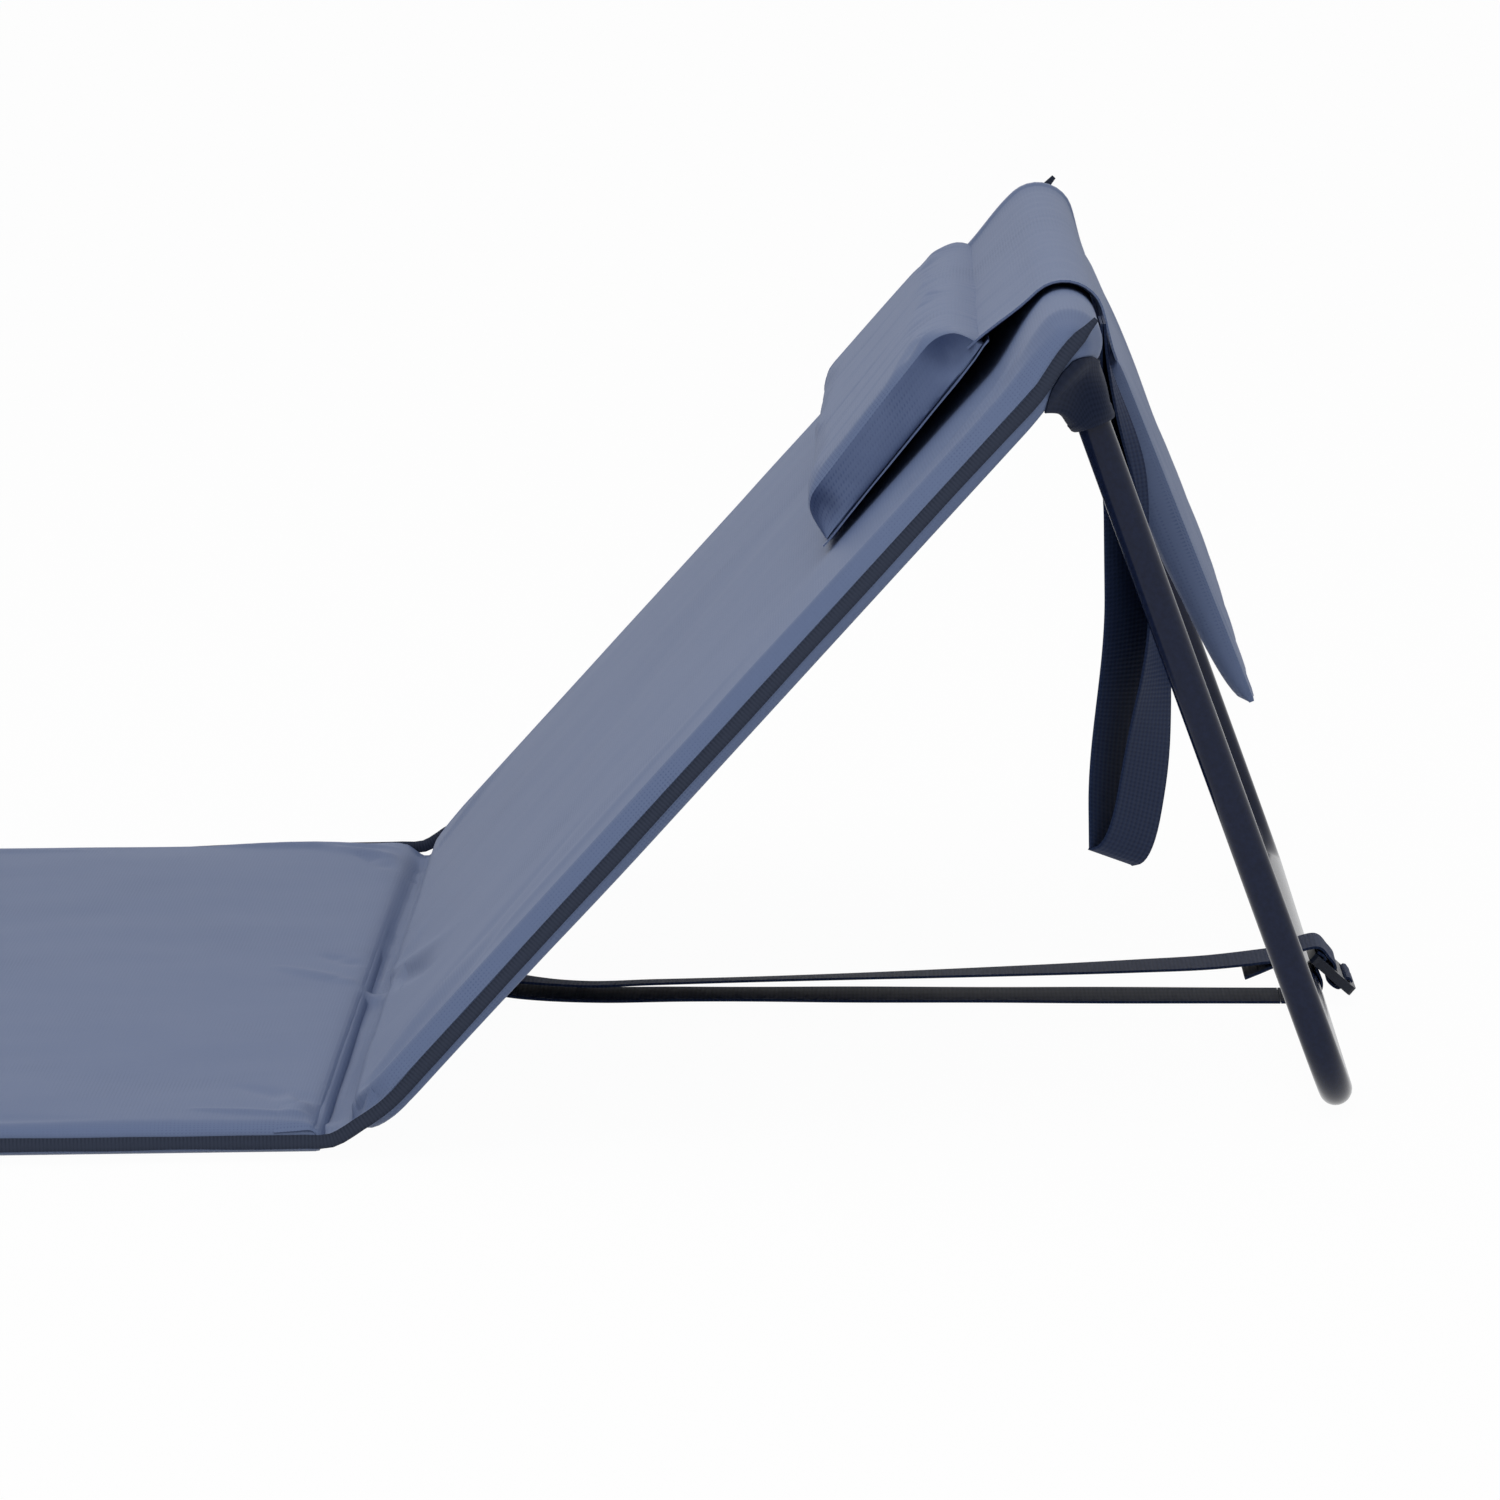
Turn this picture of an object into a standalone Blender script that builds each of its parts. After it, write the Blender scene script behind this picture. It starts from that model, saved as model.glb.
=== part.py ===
"""Double beach lounger: a padded folding mat with a tube-framed backrest, a U-shaped support leg, an adjusting
strap between them, a long headrest cushion hung over the top bar and a carrying loop. Metres, +Z up, the
foot end towards -X, the backrest towards +X, standing on z = 0."""

from math import asin, cos, pi, radians, sin, sqrt

import bmesh
import bpy
from mathutils import Matrix, Vector

# Overall sizes
WIDTH = 1.05
SEAT_LENGTH = 0.60
FOOT_LENGTH = 0.45
BACK_LENGTH = 0.565
RECLINE = radians(46.9)
LEG_LEAN = radians(19.2)

# Mat
MAT_HALF = 0.010
MAT_CROWN = 0.0025
MAT_EDGE = 0.014
FABRIC = 0.0008
SEAM_HALF = 0.0016
MAT_TAPE = 0.0105
TAPE = 0.0012
FIT = 0.0004
HINGE_CLEAR = 0.0125
FOLD_GAP = 0.006
HINGE_Z = 0.0115
CREASE_DX = -0.006
CREASE_Z = 0.0225
FOLD_Z = 0.0215

# Backrest
BACK_HALF = 0.0105
BACK_EDGE = 0.012
BACK_TAPE = 0.0105
ROLL_R = 0.0175
ROLL_BLEND = 0.05
EAR_LENGTH = 0.020
TUBE_R = 0.008
TUBE_WALL = 0.0012
TUBE_INSET = 0.014
FRAME_BEND = 0.04
LOWER_BEND = 0.03
FRAME_FOOT = 0.016
FRAME_SPLIT = 0.10
PLUG_LENGTH = 0.05

# Support leg
LEG_R = 0.009
LEG_WALL = 0.0012
LEG_INSET = 0.070
LEG_Y = WIDTH / 2 - LEG_INSET
LEG_BEND = 0.05
LEG_TOP = 0.011
PIVOT_S = -0.0190
PIVOT_N = -0.0300
PLATE_T = 0.003
WASHER_T = 0.0010
RIVET_R = 0.003
RIVET_HEAD_R = 0.006
RIVET_HEAD_T = 0.0018
CUFF_X = 0.0135
CUFF_Y = 0.0195
CUFF_CLEAR = 0.0009
CUFF_DOWN = 0.013

# Straps and buckle
WEB_W = 0.050
WEB_T = 0.0014
STRAP_GAP = 0.0005
STRAP_Y = -0.03
STRAP_CUT = 0.0135
BUCKLE_L = 0.031
BUCKLE_BACK = 0.005
BUCKLE_UP = 0.0165
BUCKLE_T = 0.0055
BUCKLE_MARGIN = 0.006
BUCKLE_TILT = radians(-42.0)

# Headrest
REST_INSET = 0.155
REST_HALF = WIDTH / 2 - REST_INSET
PILLOW_DROP = 0.173
PILLOW_LOW = BACK_LENGTH - PILLOW_DROP
PILLOW_TALL = 0.135
PILLOW_THICK = 0.026
PILLOW_END = 0.019
PILLOW_LIFT = 0.0016
FLAP_T = 0.0012
POUCH_LENGTH = 0.199
POUCH_THICK = 0.013
POUCH_LEAN = radians(21.0)
POUCH_TOP = 0.030

# Carrying loop
LOOP_W = 0.050
LOOP_DROP = 0.289
LOOP_BACK = 0.012
LOOP_INSET = 0.1175
LOOP_Y = LOOP_INSET - WIDTH / 2
LOOP_GAP = 0.015
LOOP_TURN = radians(33.0)

HALF = WIDTH / 2
SKIN_HALF = HALF - TAPE - FIT
C = cos(RECLINE)
S = sin(RECLINE)

# The bar of the leg rides on the strap that goes round it, so its axis is that much higher.
BAR_Z = LEG_R + STRAP_GAP + WEB_T + 0.0003
PIVOT_DX = (BACK_LENGTH + PIVOT_S) * C - PIVOT_N * S
PIVOT_DZ = HINGE_Z + (BACK_LENGTH + PIVOT_S) * S + PIVOT_N * C
LEG_LENGTH = (PIVOT_DZ - BAR_Z) / cos(LEG_LEAN)
BAR_DX = PIVOT_DX + LEG_LENGTH * sin(LEG_LEAN)
BUCKLE_DX = BAR_DX + BUCKLE_BACK
REAR_REACH = BUCKLE_DX + BUCKLE_L * cos(BUCKLE_TILT) + BUCKLE_T / 2 * abs(sin(BUCKLE_TILT))

# The origin is the middle of the footprint, on the ground.
MAT_REACH = HINGE_CLEAR + SEAT_LENGTH + FOLD_GAP + FOOT_LENGTH + TAPE + FIT
HX = (MAT_REACH - REAR_REACH) / 2
SEAT_X1 = HX - HINGE_CLEAR
SEAT_X0 = SEAT_X1 - SEAT_LENGTH
FOOT_X1 = SEAT_X0 - FOLD_GAP
FOOT_X0 = FOOT_X1 - FOOT_LENGTH
FOLD_X = SEAT_X0 - FOLD_GAP / 2
PIVOT = Vector((HX + PIVOT_DX, 0.0, PIVOT_DZ))
BAR = Vector((HX + BAR_DX, 0.0, BAR_Z))


def clear_scene():
    for obj in list(bpy.data.objects):
        bpy.data.objects.remove(obj, do_unlink=True)
    for collection in list(bpy.data.collections):
        bpy.data.collections.remove(collection)


clear_scene()
PARTS = bpy.data.collections.new("double_beach_lounger")
CUTTERS = bpy.data.collections.new("cutters")
CUTTERS.hide_render = True
bpy.context.scene.collection.children.link(PARTS)
bpy.context.scene.collection.children.link(CUTTERS)


def material(name, colour, roughness, metallic=0.0):
    made = bpy.data.materials.new(name)
    made.use_nodes = True
    shader = made.node_tree.nodes["Principled BSDF"]
    shader.inputs["Base Color"].default_value = (*colour, 1.0)
    shader.inputs["Roughness"].default_value = roughness
    shader.inputs["Metallic"].default_value = metallic
    made.diffuse_color = (*colour, 1.0)
    return made


GREY_FABRIC = material("slate_polyester", (0.105, 0.135, 0.205), 0.6)
BLACK_TAPE = material("black_binding_tape", (0.012, 0.013, 0.018), 0.8)
WEBBING = material("black_webbing", (0.014, 0.015, 0.022), 0.75)
BLACK_STEEL = material("black_coated_steel", (0.010, 0.011, 0.016), 0.2, 0.3)
BARE_STEEL = material("zinc_plated_steel", (0.45, 0.46, 0.48), 0.35, 1.0)
FOAM = material("polyurethane_foam", (0.75, 0.74, 0.66), 0.95)
FILLING = material("fibre_filling", (0.85, 0.85, 0.83), 1.0)
PLASTIC = material("black_plastic", (0.012, 0.012, 0.014), 0.35)


def axis_empty(name, place):
    empty = bpy.data.objects.new(name, None)
    empty.empty_display_size = 0.05
    empty.location = place
    PARTS.objects.link(empty)
    return empty


AXES = {
    "seat": axis_empty("seat_axis", (SEAT_X0, 0.0, 0.0)),
    "foot": axis_empty("mat_fold_axis", (FOLD_X, 0.0, FOLD_Z)),
    "backrest": axis_empty("backrest_fold_axis", (HX + CREASE_DX, 0.0, CREASE_Z)),
    "support": axis_empty("leg_fold_axis", PIVOT),
    "buckle": axis_empty("buckle_swing_axis", BAR),
}


def keep(mesh, name, look, body, collection=None):
    """Makes the object, with its origin on the axis that its body turns about."""
    place = AXES[body].location if body else Vector((0.0, 0.0, 0.0))
    mesh.transform(Matrix.Translation(-place))
    mesh.name = name
    mesh.materials.clear()
    mesh.materials.append(look)
    obj = bpy.data.objects.new(name, mesh)
    (collection or PARTS).objects.link(obj)
    if body:
        obj.parent = AXES[body]
    return obj


def solidify(obj, thickness, offset=-1.0):
    skin = obj.modifiers.new("thickness", "SOLIDIFY")
    skin.thickness = thickness
    skin.offset = offset
    skin.use_even_offset = True
    skin.use_quality_normals = True
    return obj


def bevel(obj, width, segments=1):
    edge = obj.modifiers.new("edges", "BEVEL")
    edge.width = width
    edge.segments = segments
    edge.limit_method = "ANGLE"
    return obj


def grid_mesh(rows, around=False):
    """A mesh of quads through rows of points, closed on itself along the rows when around is set."""
    made = bmesh.new()
    verts = [[made.verts.new(point) for point in row] for row in rows]
    count = len(rows)
    for i in range(count if around else count - 1):
        for j in range(len(rows[0]) - 1):
            after = (i + 1) % count
            made.faces.new((verts[i][j], verts[after][j], verts[after][j + 1], verts[i][j + 1]))
    mesh = bpy.data.meshes.new("sheet")
    made.to_mesh(mesh)
    made.free()
    return mesh


def sheet(name, rows, thickness, look, body, offset=-1.0, around=False):
    """Cloth or webbing: a surface given its thickness."""
    return solidify(keep(grid_mesh(rows, around), name, look, body), thickness, offset)


def slab(name, top, bottom, look, body):
    """A closed filling between two grids of points of the same size."""
    made = bmesh.new()
    above = [[made.verts.new(point) for point in row] for row in top]
    below = [[made.verts.new(point) for point in row] for row in bottom]
    last_i = len(top) - 1
    last_j = len(top[0]) - 1
    for i in range(last_i):
        for j in range(last_j):
            made.faces.new((above[i][j], above[i + 1][j], above[i + 1][j + 1], above[i][j + 1]))
            made.faces.new((below[i][j], below[i][j + 1], below[i + 1][j + 1], below[i + 1][j]))
    rim = [(i, 0) for i in range(last_i)] + [(last_i, j) for j in range(last_j)]
    rim += [(i, last_j) for i in range(last_i, 0, -1)] + [(0, j) for j in range(last_j, 0, -1)]
    for k, (i, j) in enumerate(rim):
        m, n = rim[(k + 1) % len(rim)]
        made.faces.new((above[i][j], below[i][j], below[m][n], above[m][n]))
    bmesh.ops.recalc_face_normals(made, faces=made.faces)
    mesh = bpy.data.meshes.new("slab")
    made.to_mesh(mesh)
    made.free()
    return keep(mesh, name, look, body)


def boxes(name, spans, look, body, edge=0.0):
    """Separate blocks, each (x0, x1, y0, y1, z0, z1), as one node."""
    made = bmesh.new()
    for x0, x1, y0, y1, z0, z1 in spans:
        size = Matrix.Diagonal((x1 - x0, y1 - y0, z1 - z0, 1.0))
        place = Matrix.Translation(((x0 + x1) / 2, (y0 + y1) / 2, (z0 + z1) / 2))
        bmesh.ops.create_cube(made, size=1.0, matrix=place @ size)
    mesh = bpy.data.meshes.new("boxes")
    made.to_mesh(mesh)
    made.free()
    obj = keep(mesh, name, look, body)
    return bevel(obj, edge) if edge else obj


def tube_mesh(points, radius, capped, resolution=4):
    """A tube along a path of points, as a mesh with its ends open or filled."""
    curve = bpy.data.curves.new("path", "CURVE")
    curve.dimensions = "3D"
    curve.bevel_depth = radius
    curve.bevel_resolution = resolution
    curve.use_fill_caps = capped
    curve.twist_mode = "MINIMUM"
    line = curve.splines.new("POLY")
    line.points.add(len(points) - 1)
    for knot, place in zip(line.points, points):
        knot.co = (*place, 1.0)
    helper = bpy.data.objects.new("path", curve)
    CUTTERS.objects.link(helper)
    bpy.context.view_layer.update()
    graph = bpy.context.evaluated_depsgraph_get()
    mesh = bpy.data.meshes.new_from_object(helper.evaluated_get(graph))
    bpy.data.objects.remove(helper, do_unlink=True)
    made = bmesh.new()
    made.from_mesh(mesh)
    bmesh.ops.remove_doubles(made, verts=made.verts, dist=0.00001)
    bmesh.ops.recalc_face_normals(made, faces=made.faces)
    made.to_mesh(mesh)
    made.free()
    return mesh


def outward(mesh, inside):
    """Turns the faces of an open tube away from a point on its axis."""
    first = mesh.polygons[0]
    if (first.center - inside).dot(first.normal) < 0:
        mesh.flip_normals()
    return mesh


def corner(centre, first, second, radius, steps=8):
    """Points of a quarter bend about centre, from the direction first to the direction second."""
    turn = [pi / 2 * k / steps for k in range(steps + 1)]
    return [centre + radius * (cos(a) * first + sin(a) * second) for a in turn]


def lathe(name, profiles, look, body, steps=16):
    """Round pieces on axes along Y: each is (centre, [(radius, y)...]) with the profile from end to end."""
    made = bmesh.new()
    for centre, profile in profiles:
        line = [made.verts.new((centre[0] + r, y, centre[1])) for r, y in profile]
        edges = [made.edges.new(pair) for pair in zip(line, line[1:])]
        if profile[0] == profile[-1]:
            raise ValueError("a profile runs from one end to the other")
        bmesh.ops.spin(
            made,
            geom=line + edges,
            cent=(centre[0], 0.0, centre[1]),
            axis=(0.0, 1.0, 0.0),
            angle=2 * pi,
            steps=steps,
            use_merge=True,
        )
    bmesh.ops.remove_doubles(made, verts=made.verts, dist=0.00005)
    bmesh.ops.recalc_face_normals(made, faces=made.faces)
    mesh = bpy.data.meshes.new("lathe")
    made.to_mesh(mesh)
    made.free()
    return keep(mesh, name, look, body)


def back_point(s, y, n):
    """A point of the backrest: s up along it from the hinge, n out of its front."""
    return Vector((HX + s * C - n * S, y, HINGE_Z + s * S + n * C))


def back_direction(s, n):
    return Vector((s * C - n * S, 0.0, s * S + n * C))


def ease(x):
    x = min(1.0, max(0.0, x))
    return x * x * (3 - 2 * x)


def both_sides(distances, half):
    """Places across a width, from distances measured in from either side."""
    near = [-half + d for d in distances]
    return near + [-y for y in reversed(near) if y < -1e-9]


def pinched(distance, edge, half):
    """Half thickness of a padded panel at a distance from its sewn edge."""
    if distance >= edge:
        return half
    away = 1 - distance / edge
    return SEAM_HALF + (half - SEAM_HALF) * sqrt(1 - away * away)


# Mat: two padded panels, each a top and a bottom cover sewn together over foam, with a bound edge


def mat_half(x, y, x0, x1, crown):
    across = SKIN_HALF - abs(y)
    along = min(x - x0, x1 - x)
    base = min(pinched(across, MAT_EDGE, MAT_HALF), pinched(along, MAT_EDGE, MAT_HALF))
    swell = ease(across / 0.09) * ease(along / 0.09)
    return base + crown * swell


def mat_cover(name, x0, x1, side, crown, body, inner):
    edge = [0.0, 0.0012, 0.0045, 0.0090, MAT_EDGE]
    middle_y = [0.05, 0.09, SKIN_HALF] if inner else [SKIN_HALF]
    middle_x = [0.05, 0.09] if inner else []
    ys = both_sides(edge + middle_y, SKIN_HALF)
    half_x = edge + middle_x
    xs = [x0 + d for d in half_x] + [x1 - d for d in reversed(half_x)]
    rows = [[(x, y, MAT_HALF + side * mat_half(x, y, x0, x1, crown)) for y in ys] for x in xs]
    if side < 0:
        rows = rows[::-1]
    return sheet(name, rows, FABRIC, GREY_FABRIC, body)


def mat_foam(name, x0, x1, body):
    side = MAT_EDGE * 0.75
    low = FABRIC + FIT
    high = 2 * MAT_HALF - FABRIC - FIT
    span = (x0 + side, x1 - side, -SKIN_HALF + side, SKIN_HALF - side, low, high)
    return boxes(name, [span], FOAM, body, 0.0025)


mat_cover("seat_top_cover", SEAT_X0, SEAT_X1, 1.0, MAT_CROWN, "seat", True)
mat_cover("seat_bottom_cover", SEAT_X0, SEAT_X1, -1.0, 0.0, "seat", False)
mat_foam("seat_foam", SEAT_X0, SEAT_X1, "seat")
mat_cover("foot_top_cover", FOOT_X0, FOOT_X1, 1.0, MAT_CROWN, "foot", True)
mat_cover("foot_bottom_cover", FOOT_X0, FOOT_X1, -1.0, 0.0, "foot", False)
mat_foam("foot_foam", FOOT_X0, FOOT_X1, "foot")

TAPE_LOW = MAT_HALF - MAT_TAPE / 2
TAPE_HIGH = MAT_HALF + MAT_TAPE / 2
SIDES = (("left", -1), ("right", 1))
for word, side in SIDES:
    edges = sorted((side * HALF, side * (HALF - TAPE)))
    span = (SEAT_X0, SEAT_X1, *edges, TAPE_LOW, TAPE_HIGH)
    boxes(f"seat_edge_tape_{word}", [span], BLACK_TAPE, "seat", 0.0003)
FOOT_END = FOOT_X0 - FIT - TAPE
foot_turn = 0.0022
foot_edge = [(FOOT_X1, -HALF)]
for cy, start in ((-HALF + foot_turn, 270), (HALF - foot_turn, 180)):
    for k in range(3):
        a = radians(start - 45 * k)
        foot_edge.append((FOOT_END + foot_turn + foot_turn * cos(a), cy + foot_turn * sin(a)))
foot_edge.append((FOOT_X1, HALF))
foot_rows = [[(x, y, z) for z in (TAPE_HIGH, MAT_HALF, TAPE_LOW)] for x, y in foot_edge]
sheet("foot_edge_tape", foot_rows, TAPE, BLACK_TAPE, "foot")

# Sewn strips that join the panels at the fold and at the hinge
STRIP_T = 0.0014
fold_span = (SEAT_X0 - FOLD_GAP + FIT, SEAT_X0 - FIT, -SKIN_HALF, SKIN_HALF)
boxes("fold_seam_strip", [(*fold_span, MAT_HALF - STRIP_T / 2, MAT_HALF + STRIP_T / 2)], GREY_FABRIC, "seat")
strip_path = [
    Vector((SEAT_X1 + FIT, 0.0, MAT_HALF)),
    Vector((HX - 0.0070, 0.0, MAT_HALF - 0.0008)),
    Vector((HX - 0.0025, 0.0, MAT_HALF - 0.0002)),
    back_point(0.0012, 0.0, 0.0),
    back_point(0.0034, 0.0, 0.0),
]
strip_ys = [-SKIN_HALF, -SKIN_HALF / 3, SKIN_HALF / 3, SKIN_HALF]
strip_rows = [[p + Vector((0.0, y, 0.0)) for y in strip_ys] for p in strip_path]
sheet("hinge_seam_strip", strip_rows, STRIP_T, GREY_FABRIC, "seat", 0.0)

# Backrest cover: one cloth folded over the top bar, its sides sewn and bound


def roll_radius(y):
    inset = SKIN_HALF - abs(y)
    flat = pinched(inset, BACK_EDGE, BACK_HALF)
    return flat + (ROLL_R - BACK_HALF) * ease((inset - 0.02) / 0.08)


def back_half(s, y):
    flat = pinched(SKIN_HALF - abs(y), BACK_EDGE, BACK_HALF)
    rise = ease((s - BACK_LENGTH + ROLL_BLEND) / ROLL_BLEND)
    return flat + (roll_radius(y) - flat) * rise


COVER_S = [0.004, 0.012, 0.03, BACK_LENGTH * 0.35, BACK_LENGTH * 0.64]
COVER_S += [BACK_LENGTH - ROLL_BLEND, BACK_LENGTH - 0.033, BACK_LENGTH - 0.015]
COVER_YS = both_sides([0.0, 0.0012, 0.004, 0.008, BACK_EDGE, 0.03, 0.065, 0.1, SKIN_HALF], SKIN_HALF)
cover_rows = []
for s in COVER_S:
    cover_rows.append([back_point(s, y, back_half(s, y)) for y in COVER_YS])
for step in range(9):
    a = pi / 2 - pi * step / 8
    cover_rows.append([
        back_point(BACK_LENGTH + roll_radius(y) * cos(a), y, roll_radius(y) * sin(a)) for y in COVER_YS
    ])
for s in reversed(COVER_S):
    cover_rows.append([back_point(s, y, -back_half(s, y)) for y in COVER_YS])
back_cover = sheet("backrest_cover", cover_rows, FABRIC, GREY_FABRIC, "backrest")

# Foam board inside the tube frame, and the foam sleeve on the top bar
BOARD_S0 = FRAME_FOOT + TUBE_R + 0.002
BOARD_S1 = BACK_LENGTH - ROLL_BLEND - 0.002
BOARD_Y = SKIN_HALF - TUBE_INSET - TUBE_R - 0.0015
BOARD_N = BACK_HALF - FABRIC - FIT
BOARD_CUT = LOWER_BEND * 0.85
board_rows = ((BOARD_S0, BOARD_Y - BOARD_CUT), (BOARD_S0 + BOARD_CUT, BOARD_Y), (BOARD_S1, BOARD_Y))
board = []
for n in (BOARD_N, -BOARD_N):
    board.append([[back_point(s, y, n) for y in (-half, 0.0, half)] for s, half in board_rows])
bevel(slab("backrest_foam", board[0], board[1], FOAM, "backrest"), 0.002)

PAD_Y = LEG_Y - 0.035
PAD_OUT = ROLL_R - FABRIC - 0.0006
PAD_IN = TUBE_R + FIT
TOP = back_point(BACK_LENGTH, 0.0, 0.0)
pad_rows = []
for step in range(20):
    a = 2 * pi * step / 20
    spoke = Vector((cos(a), 0.0, sin(a)))
    pad_rows.append([TOP + spoke * (PAD_OUT - 0.003 * (abs(y) > PAD_Y - 0.1)) + Vector((0.0, y, 0.0))
                     for y in (-PAD_Y, -PAD_Y + 0.11, PAD_Y - 0.11, PAD_Y)])
pad = keep(outward(grid_mesh(pad_rows, True), TOP), "top_bar_foam_sleeve", FOAM, "backrest")
solidify(pad, PAD_OUT - PAD_IN - 0.0032)

# Bound side seams, which end in a small ear at each top corner
ear_tip = BACK_LENGTH + EAR_LENGTH
tape_rows = [(0.004, 1.0), (0.03, 1.0), (BACK_LENGTH * 0.44, 1.0), (BACK_LENGTH - 0.03, 1.0)]
tape_rows += [(BACK_LENGTH - 0.004, 1.0), (BACK_LENGTH + 0.008, 0.75), (ear_tip, 0.40)]


def tape_side(word, side):
    outer = []
    inner = []
    for s, wide in tape_rows:
        half = BACK_TAPE / 2 * wide
        outer.append([back_point(s, side * HALF, n) for n in (-half, 0.0, half)])
        inner.append([back_point(s, side * (HALF - TAPE), n) for n in (-half, 0.0, half)])
    return slab(f"backrest_edge_tape_{word}", outer, inner, BLACK_TAPE, "backrest")


for word, side in SIDES:
    tape_side(word, side)

# Backrest frame: a U of steel tube over a lower U, joined end to end on plugs
FRAME_Y = SKIN_HALF - TUBE_INSET
UP = back_direction(1.0, 0.0)
ACROSS = Vector((0.0, 1.0, 0.0))


def frame_at(s, y):
    return back_point(s, y, 0.0)


def u_path(s_end, s_bar, bend):
    """Up one side, round two bends and down the other, from s_end to a bar at s_bar."""
    way = UP if s_bar > s_end else -UP
    inner = s_bar - bend if s_bar > s_end else s_bar + bend
    left = corner(frame_at(inner, -FRAME_Y + bend), -ACROSS, way, bend)
    right = corner(frame_at(inner, FRAME_Y - bend), way, ACROSS, bend)
    return [frame_at(s_end, -FRAME_Y)] + left + right + [frame_at(s_end, FRAME_Y)]


upper_path = u_path(FRAME_SPLIT + 0.0002, BACK_LENGTH, FRAME_BEND)
upper = keep(outward(tube_mesh(upper_path, TUBE_R, False), upper_path[0]), "backrest_upper_frame", BLACK_STEEL,
             "backrest")
solidify(upper, TUBE_WALL)
lower_path = u_path(FRAME_SPLIT - 0.0002, FRAME_FOOT, LOWER_BEND)
lower = keep(outward(tube_mesh(lower_path, TUBE_R, False), lower_path[0]), "backrest_lower_frame", BLACK_STEEL,
             "backrest")
solidify(lower, TUBE_WALL)
plug_r = TUBE_R - TUBE_WALL - 0.0003
for word, side in SIDES:
    ends = [frame_at(FRAME_SPLIT + d * PLUG_LENGTH / 2, side * FRAME_Y) for d in (-1, 1)]
    keep(tube_mesh(ends, plug_r, True), f"frame_joint_plug_{word}", BARE_STEEL, "backrest")

# Support leg: one bent tube, pinned to a plate at each end of the top bar
LEG_DOWN = Vector((sin(LEG_LEAN), 0.0, -cos(LEG_LEAN)))
leg_foot = PIVOT + LEG_DOWN * (LEG_LENGTH - LEG_BEND)
leg_head = PIVOT - LEG_DOWN * LEG_TOP
near_bend = corner(leg_foot + ACROSS * (LEG_BEND - LEG_Y), -ACROSS, LEG_DOWN, LEG_BEND)
far_bend = corner(leg_foot + ACROSS * (LEG_Y - LEG_BEND), LEG_DOWN, ACROSS, LEG_BEND)
leg_path = [leg_head - ACROSS * LEG_Y] + near_bend + far_bend + [leg_head + ACROSS * LEG_Y]
leg = keep(outward(tube_mesh(leg_path, LEG_R, False, 5), leg_path[0]), "support_leg", BLACK_STEEL, "support")
solidify(leg, LEG_WALL)


def pin_cutter(name, place, half):
    made = bmesh.new()
    turn = Matrix.Rotation(pi / 2, 4, "X")
    bmesh.ops.create_cone(made, cap_ends=True, segments=20, radius1=RIVET_R + 0.0003, radius2=RIVET_R + 0.0003,
                          depth=2 * half, matrix=Matrix.Translation(place) @ turn)
    mesh = bpy.data.meshes.new(name)
    made.to_mesh(mesh)
    made.free()
    cutter = keep(mesh, name, BARE_STEEL, None, CUTTERS)
    cutter.display_type = "WIRE"
    cutter.hide_render = True
    return cutter


for side in (-1, 1):
    hole = leg.modifiers.new("pin_hole", "BOOLEAN")
    hole.operation = "DIFFERENCE"
    hole.solver = "EXACT"
    hole.object = pin_cutter(f"pin_cutter_{side + 1}", PIVOT + ACROSS * (side * LEG_Y), 0.02)

# Pivot plates, threaded on the top bar outside each leg
PLATE_Y0 = LEG_Y + LEG_R + WASHER_T + 2 * 0.0003


def plate_curve(name, grow):
    """Flat link with an eye for the top bar and an eye for the pin, lying in a plane of local X and Y. A link
    that is grown has no eyes: it cuts the slit that the plate comes through."""
    link = PIVOT - TOP
    reach = sqrt(link.x * link.x + link.z * link.z)
    big = TUBE_R + 0.0035 + grow
    small = RIVET_HEAD_R + 0.002 + grow
    lean = asin((big - small) / reach)
    curve = bpy.data.curves.new(name, "CURVE")
    curve.dimensions = "2D"
    curve.fill_mode = "BOTH"
    curve.extrude = PLATE_T / 2 + grow

    def loop(points):
        line = curve.splines.new("POLY")
        line.points.add(len(points) - 1)
        for knot, (px, py) in zip(line.points, points):
            knot.co = (px, py, 0.0, 1.0)
        line.use_cyclic_u = True

    first = pi / 2 - lean
    outline = [(big * cos(a), big * sin(a)) for a in (first + (2 * pi - 2 * first) * k / 16 for k in range(17))]
    tip = [-first + 2 * first * k / 10 for k in range(11)]
    outline += [(reach + small * cos(a), small * sin(a)) for a in tip]
    loop(outline)
    eyes = () if grow else ((0.0, TUBE_R + 0.0003), (reach, RIVET_R + 0.0003))
    for centre, radius in eyes:
        loop([(centre + radius * cos(2 * pi * k / 20), radius * sin(2 * pi * k / 20)) for k in range(20)])
    return curve, link / reach


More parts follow.
